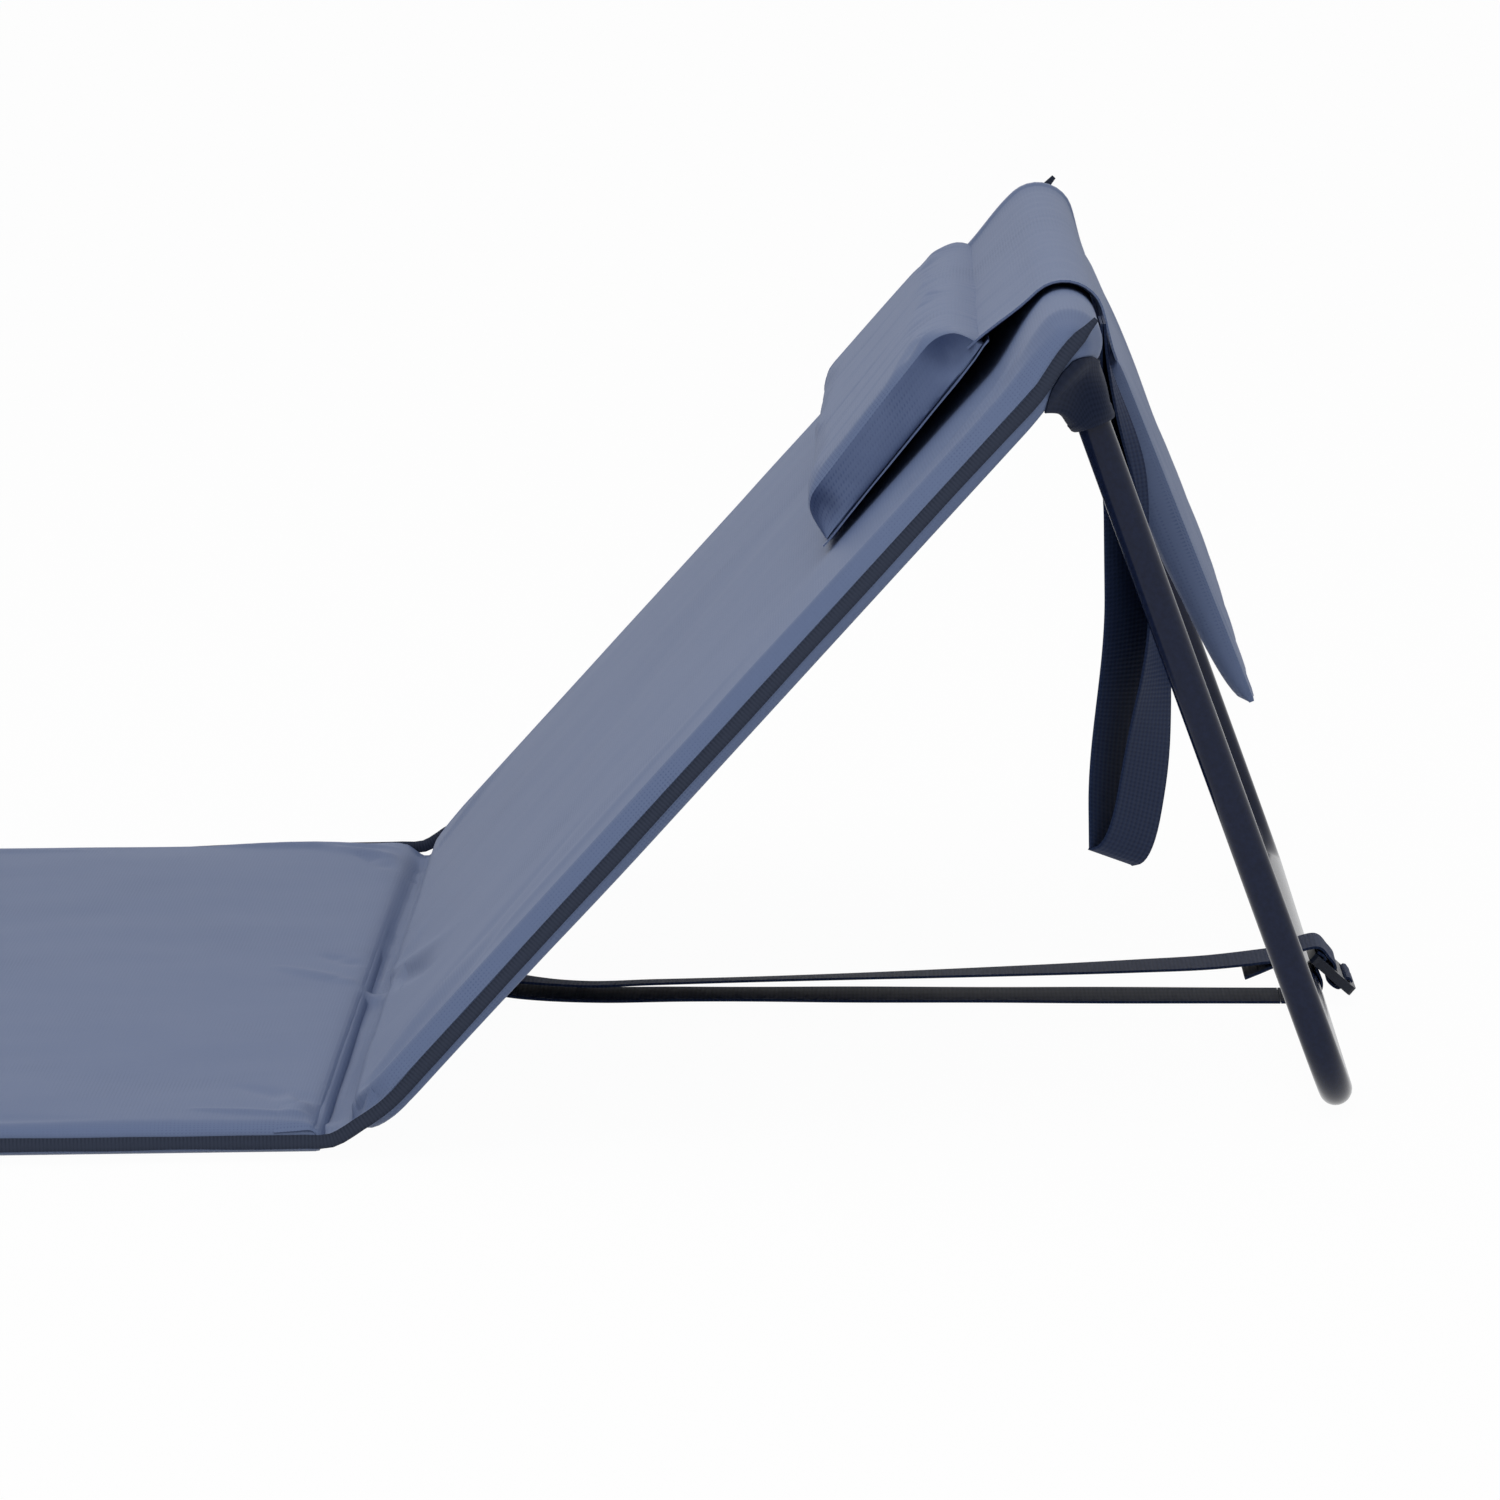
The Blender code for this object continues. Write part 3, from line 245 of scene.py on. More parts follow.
def speckled(name, dark, light, grain, bump, depth, **values):
    """A coated, plated or moulded surface with a grain of a real size on Object coordinates."""
    look, shader = surface(name, **values)
    spot = add(look, "TexCoord", {}, {}).outputs["Object"]
    speck = add(look, "TexNoise", {}, {"Vector": spot, "Scale": 1 / grain, "Detail": 3.0, "Roughness": 0.55})
    fac = speck.outputs["Fac"]
    return dress(look, shader, fac, SPECK_STOPS, (dark, light), (fac, bump, depth))


# Steel tube with glossy black enamel: sharp long highlights and a faint orange-peel of about 3 mm.
ENAMEL = speckled("black_enamelled_steel", "#111a33", "#17213d", 0.003, 0.06, 0.0002, Roughness=0.16, IOR=1.5,
                  Specular_IOR_Level=0.2)
# Zinc-plated steel: a grey metal with a cloudy passivated film.
ZINC = speckled("zinc_plated_steel", "#8d9096", "#b4b7bc", 0.004, 0.05, 0.0001, Roughness=0.36, Metallic=1.0)
# Moulded acetal: black, satin, with a fine spark-eroded grain of about 0.6 mm.
ACETAL = speckled("black_acetal", "#171c28", "#222836", 0.0006, 0.15, 0.0001, Roughness=0.4, IOR=1.48,
                  Specular_IOR_Level=0.25)


# Shaping


def ease(x):
    x = min(1.0, max(0.0, x))
    return x * x * (3 - 2 * x)


def dome(x):
    """Height of a quarter round, from 0 to 1, at x of the way in from its edge."""
    return sqrt(max(0.0, 1 - (1 - x) ** 2))


def spread(first, last, step):
    """Evenly spaced values from first to last, about step apart."""
    count = max(1, round(abs(last - first) / step))
    return [first + (last - first) * k / count for k in range(count + 1)]


def panel_places(half, edge, fine, coarse):
    """Places across a panel, close together by its edges."""
    inner = spread(-half + edge, half - edge, coarse)
    return spread(-half, -half + edge, fine)[:-1] + inner + spread(half - edge, half, fine)[1:]


def smooth_path(points, step):
    """A smooth line through points, as a Catmull-Rom curve."""
    ends = [2 * points[0] - points[1]] + list(points) + [2 * points[-1] - points[-2]]
    line = []
    for k in range(1, len(ends) - 2):
        a, b, c, d = ends[k - 1:k + 3]
        count = max(1, round((c - b).length / step))
        for i in range(count):
            t = i / count
            bend = 2 * b + (c - a) * t + (2 * a - 5 * b + 4 * c - d) * t * t + (3 * b - a - 3 * c + d) * t ** 3
            line.append(bend / 2)
    return line + [points[-1].copy()]


def fold(a, b, line):
    """Height at (a, b) of a soft fold along a line (a0, b0, a1, b1, width, height), fading at its ends."""
    a0, b0, a1, b1, width, height = line
    da = a1 - a0
    db = b1 - b0
    length = sqrt(da * da + db * db)
    t = ((a - a0) * da + (b - b0) * db) / length ** 2
    if not 0.0 < t < 1.0:
        return 0.0
    off = ((a - a0) * db - (b - b0) * da) / length / (width * (0.45 + 0.55 * sin(pi * t)))
    return height * exp(-off * off) * sin(pi * t) ** 0.7


def ripple(a, b, size, seed):
    """Slack of the cloth at (a, b): smooth, from -1 to 1, over about the size given."""
    return noise.noise(Vector((a / size, b / size, seed)))


def pinched(distance, edge, half):
    """Half thickness of a padded panel at a distance from its sewn edge."""
    if distance >= edge:
        return half
    away = 1 - max(0.0, distance) / edge
    return SEAM_HALF + (half - SEAM_HALF) * sqrt(1 - away * away)


def lengths(points):
    """Distances along a line of points."""
    along = [0.0]
    for before, after in zip(points, points[1:]):
        along.append(along[-1] + (Vector(after) - Vector(before)).length)
    return along


def make(name, verts, faces, corners, look):
    """A mesh object with a UV map in metres, one pair of values for each corner of each face."""
    mesh = bpy.data.meshes.new(name)
    mesh.from_pydata([tuple(v) for v in verts], [], faces)
    layer = mesh.uv_layers.new(name="cloth")
    spots = [spot for face in corners for spot in face]
    layer.data.foreach_set("uv", [value for spot in spots for value in spot])
    mesh.materials.append(look)
    mesh.update()
    obj = bpy.data.objects.new(name, mesh)
    SCENE.collection.objects.link(obj)
    return obj


def grid(rows, around=False):
    """Quads through rows of points and their UV corners, with the distances across and along the rows."""
    count = len(rows)
    wide = len(rows[0])
    across = lengths(rows[count // 2])
    middle = [row[wide // 2] for row in rows]
    along = lengths(middle + middle[:1] if around else middle)
    faces = []
    corners = []
    for i in range(len(along) - 1):
        for j in range(wide - 1):
            quad = ((i, j), (i + 1, j), (i + 1, j + 1), (i, j + 1))
            faces.append([(a % count) * wide + b for a, b in quad])
            corners.append([(across[b], along[a]) for a, b in quad])
    return faces, corners, across, along


def cloth_grid(name, rows, look, around=False):
    """A cloth through rows of points, closed on itself along the rows when around is set."""
    faces, corners = grid(rows, around)[:2]
    return make(name, [p for row in rows for p in row], faces, corners, look)


# Width in metres that one step of a pad's side takes up on its UV map
WALL_UV = 0.003


def padding(name, front, back, look, wall=1):
    """A closed pad between two grids of points of the same size; wall is the number of steps of its side."""
    count = len(front)
    wide = len(front[0])
    quads, spots, across, along = grid(front)
    verts = [p for row in front for p in row] + [p for row in back for p in row]
    size = count * wide
    faces = [face for quad in quads for face in (quad, [size + k for k in reversed(quad)])]
    corners = [ring for spot in spots for ring in (spot, spot[::-1])]
    rim = [(i, 0) for i in range(count - 1)] + [(count - 1, j) for j in range(wide - 1)]
    rim += [(i, wide - 1) for i in range(count - 1, 0, -1)] + [(0, j) for j in range(wide - 1, 0, -1)]
    rings = [[i * wide + j for i, j in rim]]
    for step in range(1, wall):
        start = len(verts)
        verts += [Vector(front[i][j]).lerp(Vector(back[i][j]), step / wall) for i, j in rim]
        rings.append(list(range(start, start + len(rim))))
    rings.append([size + i * wide + j for i, j in rim])
    for upper, lower, step in zip(rings, rings[1:], range(wall)):
        for k in range(len(rim)):
            m = (k + 1) % len(rim)
            faces.append([upper[k], upper[m], lower[m], lower[k]])
            ends = [(rim[k], step), (rim[m], step), (rim[m], step + 1), (rim[k], step + 1)]
            corners.append([(across[c[1]] + d * WALL_UV, along[c[0]] + d * WALL_UV) for c, d in ends])
    obj = make(name, verts, faces, corners, look)
    outward(obj)
    return obj


MERGE = 1e-6


def outward(obj, shut=False):
    """Turns the faces outward, once a swept ring is shut along its seam and at its ends."""
    shape = bmesh.new()
    shape.from_mesh(obj.data)
    if shut:
        bmesh.ops.remove_doubles(shape, verts=shape.verts, dist=MERGE)
        bmesh.ops.holes_fill(shape, edges=[e for e in shape.edges if e.is_boundary], sides=0)
    bmesh.ops.recalc_face_normals(shape, faces=shape.faces)
    shape.to_mesh(obj.data)
    shape.free()


def focus(obj):
    bpy.ops.object.select_all(action="DESELECT")
    obj.select_set(True)
    bpy.context.view_layer.objects.active = obj


def apply_all(obj):
    focus(obj)
    for step in list(obj.modifiers):
        bpy.ops.object.modifier_apply(modifier=step.name)


def thicken(obj, thickness, offset):
    step = obj.modifiers.new("thickness", "SOLIDIFY")
    step.thickness = thickness
    step.offset = offset
    step.use_even_offset = True
    apply_all(obj)


def soften(obj):
    step = obj.modifiers.new("softness", "SUBSURF")
    step.levels = 1
    step.render_levels = 1
    step.boundary_smooth = "PRESERVE_CORNERS"
    apply_all(obj)


def shade(obj, angle):
    focus(obj)
    bpy.ops.object.shade_smooth_by_angle(angle=radians(angle))


def sewn(name, rows, look, thickness, angle, offset=0.0, around=False, turned=False):
    """A cloth with its thickness, smooth up to an angle; turned sets its faces outward first."""
    obj = cloth_grid(name, rows, look, around)
    if turned:
        outward(obj)
    thicken(obj, thickness, offset)
    shade(obj, angle)
    return obj


def place(obj, body, slot, *nodes):
    """Sets a finished piece on its body in the place of its CAD nodes."""
    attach(obj, body)
    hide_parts(*nodes)


def band(name, path, ups, outs, halves, profile, look):
    """A tape of a closed profile of (up, out) points, swept along a path and closed at its ends."""
    rows = []
    for p, up, out, half in zip(path, ups, outs, halves):
        ring = [p + up * (u * half) + out * o for u, o in profile]
        rows.append(ring + ring[:1])
    obj = cloth_grid(name, rows, look)
    outward(obj, shut=True)
    return obj


def directions(path):
    """Unit directions along a path."""
    after = path[1:] + path[-1:]
    before = path[:1] + path[:-1]
    return [(b - a).normalized() for a, b in zip(before, after)]


# Mat panels: foam in a cloth cover, slack by the hinge, where the cloth draws into folds

# Folds of the seat as (from the hinge, across, from the hinge, across, width, height)
SEAT_FOLDS = [
    (0.000, -0.524, 0.012, -0.420, 0.0045, -0.0042),
    (0.007, -0.522, 0.026, -0.425, 0.0055, 0.0030),
    (0.004, -0.500, 0.075, -0.478, 0.0060, 0.0018),
    (0.000, -0.470, 0.055, -0.400, 0.0100, -0.0016),
    (0.002, -0.060, 0.060, 0.010, 0.0070, 0.0022),
    (0.000, 0.000, 0.035, 0.055, 0.0060, -0.0020),
    (0.000, 0.440, 0.070, 0.500, 0.0080, 0.0026),
    (0.010, 0.490, 0.130, 0.515, 0.0100, 0.0030),
    (0.000, 0.380, 0.040, 0.470, 0.0060, -0.0022),
    (0.120, -0.505, 0.330, -0.490, 0.0120, -0.0010),
    (0.200, 0.490, 0.420, 0.505, 0.0140, 0.0018),
    (0.080, -0.300, 0.260, 0.150, 0.0400, 0.0010),
    (0.240, -0.200, 0.420, 0.380, 0.0450, -0.0009),
]


def mat_top(x, y, x0, x1, folds):
    """Height of the top of a mat panel above its middle."""
    across = SKIN_HALF - abs(y)
    along = min((x - x0) / MAT_EDGE, (x1 - x) / (MAT_EDGE * (2.0 if folds else 1.0))) * MAT_EDGE
    base = min(pinched(across, MAT_EDGE, MAT_HALF), pinched(along, MAT_EDGE, MAT_HALF))
    inside = ease(across / 0.02) * ease(along / 0.01)
    swell = MAT_CROWN * ease(across / 0.09) * ease(along / 0.09)
    slack = 0.0011 * ripple(x, y, 0.16, 3.0) + 0.0006 * ripple(x, y, 0.06, 7.0)
    drawn = sum(fold(x1 - x, y, line) for line in folds)
    return base + swell + (slack + drawn) * inside


def mat_panel(name, x0, x1, folds):
    xs = spread(x0, x0 + 0.02, 0.002)[:-1] + spread(x0 + 0.02, x1 - 0.08, 0.007)[:-1] + spread(x1 - 0.08, x1, 0.0025)
    ys = panel_places(SKIN_HALF, 0.05, 0.0025, 0.006)
    front = [[Vector((x, y, MAT_HALF + mat_top(x, y, x0, x1, folds))) for y in ys] for x in xs]
    back = []
    for x in xs:
        end = pinched(min(x - x0, x1 - x), MAT_EDGE, MAT_HALF)
        halves = [min(pinched(SKIN_HALF - abs(y), MAT_EDGE * 3, MAT_HALF), end) for y in ys]
        back.append([Vector((x, y, MAT_HALF - half)) for y, half in zip(ys, halves)])
    pad = padding(name, front, back, SLATE)
    shade(pad, 60)
    return pad


seat_pad = mat_panel("seat_pad", SEAT_X0, SEAT_X1, SEAT_FOLDS)
place(seat_pad, "seat", "slate_fabric", "seat_top_cover", "seat_bottom_cover", "seat_foam")
foot_pad = mat_panel("foot_pad", FOOT_X0, FOOT_X1, [])
place(foot_pad, "foot_panel", "slate_fabric", "foot_top_cover", "foot_bottom_cover", "foot_foam")

# Backrest cover: front, over the roll and down the rear, tight on its tube frame

# Folds of the front as (up, across, up, across, width, height)
BACK_FOLDS = [
    (0.040, -0.475, 0.330, -0.445, 0.0130, 0.0016),
    (0.020, -0.440, 0.200, -0.360, 0.0160, -0.0018),
    (0.010, -0.480, 0.110, -0.400, 0.0120, 0.0024),
    (0.004, -0.055, 0.060, -0.260, 0.0080, -0.0034),
    (0.006, -0.040, 0.075, -0.215, 0.0100, 0.0026),
    (0.004, -0.070, 0.040, 0.030, 0.0070, 0.0016),
    (0.000, -0.505, 0.130, -0.455, 0.0250, -0.0036),
    (0.010, 0.400, 0.090, 0.490, 0.0080, 0.0022),
    (0.120, -0.100, 0.420, 0.200, 0.0500, -0.0012),
    (0.430, -0.480, 0.530, -0.430, 0.0090, -0.0018),
    (0.480, -0.490, 0.555, -0.455, 0.0060, 0.0016),
]
FRAME_R = 0.008
FRAME_INSET = 0.014
FRAME_FOOT = 0.016
CORNER = 0.044
SIDE_STRIP = 0.010
SIDE_RIDGE = 0.0088
SIDE_CROWN = 0.12
SEAM_DROP = 0.0040
REAR_SWELL = 0.0024
# Cloth and foam over the frame's tube, on the front and at the far end of the roll
TUBE_COVER = 0.0010
FAR_ROLL_COVER = 0.0016


def roll_radius(y):
    """The roll is full up to its near end, and flattens towards the far one."""
    inset = SKIN_HALF - abs(y)
    if y < 0:
        return pinched(inset, BACK_EDGE, BACK_HALF) + (ROLL_R - BACK_HALF) * ease((inset - 0.002) / 0.032)
    over_tube = FRAME_R + FAR_ROLL_COVER
    edge = SEAM_HALF + (over_tube - SEAM_HALF) * ease(inset / 0.009)
    return edge + (ROLL_R - over_tube) * ease((inset - 0.02) / 0.12)


def roll_share(s):
    return ease((s - BACK_LENGTH + ROLL_BLEND) / ROLL_BLEND)


def seam_drop(s):
    """The bound seam lies behind the middle of the panel, except by the hinge and the ear."""
    return SEAM_DROP * ease(s / 0.03) * ease((BACK_LENGTH - s) / 0.025)


def reach(s, y):
    """Distance in from the outline of the filled part, whose lower corners are round like the frame."""
    side = SKIN_HALF - abs(y)
    foot = s + FRAME_INSET - FRAME_FOOT
    if side < CORNER and foot < CORNER:
        return max(0.0, CORNER - sqrt((CORNER - side) ** 2 + (CORNER - foot) ** 2))
    return max(0.0, min(side, foot))


def front_half(s, y):
    """Crowned front: a flat strip by the tape, a ridge over the side tube, then a slow rise to the middle."""
    inset = reach(s, y)
    seam = SEAM_HALF - seam_drop(s)
    flat = seam + (SIDE_RIDGE - seam) * min(1.0, inset / SIDE_STRIP)
    flat += (BACK_HALF - SIDE_RIDGE) * ease((inset - SIDE_STRIP) / SIDE_CROWN)
    return flat + (roll_radius(y) - flat) * roll_share(s)


def rear_half(s, y):
    inset = reach(s, y)
    flat = pinched(inset, BACK_EDGE, BACK_HALF) + seam_drop(s) * (1 - ease(inset / 0.016))
    flat += REAR_SWELL * ease((s - 0.06) / 0.16) * ease(inset / 0.012) * (1 - ease((inset - 0.03) / 0.06))
    return flat + (roll_radius(y) - flat) * roll_share(s)


def back_front(s, y):
    inside = ease((SKIN_HALF - abs(y)) / 0.015)
    slack = 0.0009 * ripple(s, y, 0.14, 13.0) + 0.0004 * ripple(s, y, 0.05, 17.0)
    drawn = sum(fold(s, y, line) for line in BACK_FOLDS)
    calm = ease((BACK_LENGTH - s) / 0.04)
    over_tube = sqrt(max(0.0, (FRAME_R + TUBE_COVER) ** 2 - (reach(s, y) - FRAME_INSET) ** 2))
    return max(over_tube, front_half(s, y) + (slack + drawn) * inside * calm)


def back_rear(s, y):
    slack = 0.0008 * ripple(s, y, 0.17, 23.0)
    calm = ease((BACK_LENGTH - s) / 0.04) * ease((SKIN_HALF - abs(y)) / 0.015)
    return rear_half(s, y) + min(0.0, slack) * calm


BACK_YS = panel_places(SKIN_HALF, 0.06, 0.003, 0.008)
BACK_SS = spread(0.004, 0.06, 0.004)[:-1] + spread(0.06, BACK_LENGTH - 0.06, 0.008)[:-1]
BACK_SS += spread(BACK_LENGTH - 0.06, BACK_LENGTH - 0.004, 0.004)
cover_rows = [[back_point(s, y, back_front(s, y)) for y in BACK_YS] for s in BACK_SS]
for a in spread(pi / 2, -pi / 2, radians(9)):
    cover_rows.append([
        back_point(BACK_LENGTH + roll_radius(y) * cos(a), y, roll_radius(y) * sin(a)) for y in BACK_YS
    ])
cover_rows += [[back_point(s, y, -back_rear(s, y)) for y in BACK_YS] for s in reversed(BACK_SS)]
back_cover = sewn("backrest_cloth", cover_rows, SLATE, FABRIC, 60, offset=-1.0)
place(back_cover, "backrest", "slate_fabric", "backrest_cover", "backrest_foam", "top_bar_foam_sleeve")

# Cloth that crosses the hinge: a valley from the seat up on to the backrest, puckered at its middle and its ends
HINGE_YS = panel_places(SKIN_HALF - 0.001, 0.06, 0.003, 0.006)


def hinge_row(y):
    slack = ripple(y, 0.0, 0.11, 5.0)
    pucker = exp(-((y + 0.06) / 0.014) ** 2) + 0.7 * exp(-((abs(y) - 0.49) / 0.02) ** 2)
    shift = 0.003 * y / HALF + 0.0010 * ripple(y, 2.0, 0.05, 9.0) - 0.0015 * pucker
    ridge = 0.0013 * exp(-((y + 0.28) / 0.12) ** 2) + 0.0020 * exp(-((y + 0.075) / 0.010) ** 2)
    pinch = (pinched(SKIN_HALF - abs(y), MAT_EDGE, MAT_HALF) - SEAM_HALF) / (MAT_HALF - SEAM_HALF)
    low = MAT_HALF + (0.0045 * pucker - 0.0008 - 0.0010 * slack) * pinch
    knots = []
    for back, rise in ((0.026, -0.0002), (0.015, 0.0005), (0.006, 0.0007)):
        x = SEAT_X1 - back
        knots.append(Vector((x, y, MAT_HALF + mat_top(x, y, SEAT_X0, SEAT_X1, SEAT_FOLDS) + rise)))
    knots.append(Vector((HX - 0.0095 + shift, y, low)))
    for s, rise in ((0.002, 0.0006 + ridge), (0.010, 0.0007), (0.026, -0.0002)):
        knots.append(back_point(s, y, back_front(s, y) + rise))
    return smooth_path(knots, 0.0022)


hinge_rows = [hinge_row(y) for y in HINGE_YS]
least = min(len(row) for row in hinge_rows)
hinge_rows = [[row[round(k * (len(row) - 1) / (least - 1))] for k in range(least)] for row in hinge_rows]
hinge_cloth = sewn("hinge_cloth", hinge_rows, SLATE, FABRIC * 0.5, 70)
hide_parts("hinge_seam_strip")
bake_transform(hinge_cloth)

# Cloth that crosses the fold between the two mat panels, its length measured along one column away from the edges
fold_rows = []
for x in spread(SEAT_X0 - FOLD_GAP - 0.012, SEAT_X0 + 0.012, 0.0015):
    panel = (SEAT_X0, SEAT_X1, SEAT_FOLDS) if x > SEAT_X0 - FOLD_GAP / 2 else (FOOT_X0, FOOT_X1, [])
    held = min(max(x, panel[0]), panel[1])
    fold_rows.append([Vector((x, y, MAT_HALF + mat_top(held, y, *panel) + 0.0003)) for y in HINGE_YS])
fold_cloth = sewn("fold_cloth", fold_rows, SLATE, FABRIC * 0.5, 70)
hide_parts("fold_seam_strip")
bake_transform(fold_cloth)

# Bindings: one grosgrain tape down each side, from the fold round the hinge to the ear at the top corner
TAPE_PROFILE = [(-0.92, -0.0011), (-1.02, -0.0005), (-0.90, 0.0001), (-0.45, 0.0005), (0.0, 0.0006)]
TAPE_PROFILE += [(0.45, 0.0005), (0.90, 0.0001), (1.02, -0.0005), (0.92, -0.0011)]
EAR_TIP = BACK_LENGTH + EAR_LENGTH
# Showing widths of the tape, which is narrow on the mat and wider from the hinge on
SEAT_TAPE = 0.0070
BACK_TAPE = 0.0074


def side_binding(word, side):
    y = side * HALF
    knots = [Vector((x, y, MAT_HALF)) for x in spread(SEAT_X0 + 0.0004, SEAT_X1 - 0.010, 0.03)]
    knots += [Vector((HX - 0.0080, y, MAT_HALF + 0.0004)), back_point(0.0100, y, 0.0)]
    knots += [back_point(s, y, -seam_drop(s)) for s in spread(0.03, EAR_TIP, 0.025)]
    path = smooth_path(knots, 0.006)
    along = lengths(path)
    turn = [t.cross(ACROSS) * -1 for t in directions(path)]
    halves = []
    for p, d in zip(path, along):
        s = (p.x - HX) * C + (p.z - HINGE_Z) * S if p.x > HX else 0.0
        narrow = 1.0 - 0.62 * ease((s - BACK_LENGTH - 0.004) / (EAR_LENGTH - 0.004))
        wide = SEAT_TAPE + (BACK_TAPE - SEAT_TAPE) * ease((p.x - SEAT_X0 - 0.35) / 0.22)
        halves.append((wide / 2 + 0.0004 * ripple(d, side, 0.05, 31.0)) * narrow)
    path = [p + up * (0.0005 * ripple(d, side, 0.07, 37.0)) for p, up, d in zip(path, turn, along)]
    if side > 0:
        for p in path:
            stand = 0.0065 * ease((p.x - SEAT_X1 + 0.22) / 0.12) * (1 - ease((p.x - HX - 0.005) / 0.04))
            p.z += stand * (0.85 + 0.3 * ripple(p.x, 0.0, 0.05, 39.0))
    tape = band(f"side_binding_{word}", path, turn, [ACROSS * side] * len(path), halves, TAPE_PROFILE, BINDING)
    shade(tape, 60)
    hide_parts(f"seat_edge_tape_{word}", f"backrest_edge_tape_{word}")
    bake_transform(tape)


for word, side in SIDES:
    side_binding(word, side)

FOOT_END = FOOT_X0 - FIT - TAPE
FOOT_TURN = 0.004
foot_line = [Vector((x, -HALF, MAT_HALF)) for x in spread(FOOT_X1 - 0.0004, FOOT_END + FOOT_TURN, 0.02)]
for cy, start in ((-HALF + FOOT_TURN, 270), (HALF - FOOT_TURN, 180)):
    for k in range(7):
        a = radians(start - 15 * k)
        foot_line.append(Vector((FOOT_END + FOOT_TURN + FOOT_TURN * cos(a), cy + FOOT_TURN * sin(a), MAT_HALF)))
    if cy < 0:
        foot_ys = spread(-HALF + 2 * FOOT_TURN, HALF - 2 * FOOT_TURN, 0.02)
        foot_line += [Vector((FOOT_END, y, MAT_HALF)) for y in foot_ys]
foot_line += [Vector((x, HALF, MAT_HALF)) for x in spread(FOOT_END + 2 * FOOT_TURN, FOOT_X1 - 0.0004, 0.02)]
foot_outs = [d.cross(UPRIGHT) * -1 for d in directions(foot_line)]
foot_halves = [MAT_TAPE / 2] * len(foot_line)
foot_ups = [UPRIGHT] * len(foot_line)
foot_binding = band("foot_binding", foot_line, foot_ups, foot_outs, foot_halves, TAPE_PROFILE, BINDING)
shade(foot_binding, 60)
place(foot_binding, "foot_panel", "binding_tape", "foot_edge_tape")


# Support leg: a length of round tube, bent twice
TUBE_SIDES = 36
BEND_STEPS = 14
TUBE_MERGE = 0.00001


def leg_tube():
    head = PIVOT - LEG_DOWN * LEG_TOP - ACROSS * LEG_Y
    straight = LEG_DOWN * (LEG_LENGTH - LEG_BEND + LEG_TOP)
    bar = ACROSS * (2 * (LEG_Y - LEG_BEND))
    bpy.ops.object.select_all(action="DESELECT")
    lean = (0.0, -LEG_LEAN, 0.0)
    bpy.ops.mesh.primitive_circle_add(vertices=TUBE_SIDES, radius=LEG_R, location=head, rotation=lean)
    tube = bpy.context.object
    tube.name = "leg_tube"
    bpy.ops.object.transform_apply(location=True, rotation=True, scale=True)
    bpy.ops.object.mode_set(mode="EDIT")
    bpy.ops.mesh.select_all(action="SELECT")
    bpy.ops.mesh.extrude_region_move(TRANSFORM_OT_translate={"value": straight})
    low = head + straight + ACROSS * LEG_BEND
    axis = LEG_DOWN.cross(ACROSS)
    bpy.ops.mesh.spin(steps=BEND_STEPS, angle=-pi / 2, center=low, axis=axis)
    bpy.ops.mesh.extrude_region_move(TRANSFORM_OT_translate={"value": bar})
    bpy.ops.mesh.spin(steps=BEND_STEPS, angle=-pi / 2, center=low + bar, axis=axis)
    bpy.ops.mesh.extrude_region_move(TRANSFORM_OT_translate={"value": -straight})
    bpy.ops.mesh.select_all(action="SELECT")
    bpy.ops.mesh.remove_doubles(threshold=TUBE_MERGE)
    bpy.ops.mesh.normals_make_consistent(inside=False)
    bpy.ops.object.mode_set(mode="OBJECT")
    tube.data.materials.append(ENAMEL)
    thicken(tube, LEG_WALL, -1.0)
    shade(tube, 40)
    place(tube, "support", "coated_steel", "support_leg")


leg_tube()

# Cuffs: short cloth sleeves over the pivots, with a turned hem
CUFF_STEPS = 60
CUFF_ASIDE = 0.0022
CUFF_TAPER = 0.84
CUFF_BELLY = 0.45


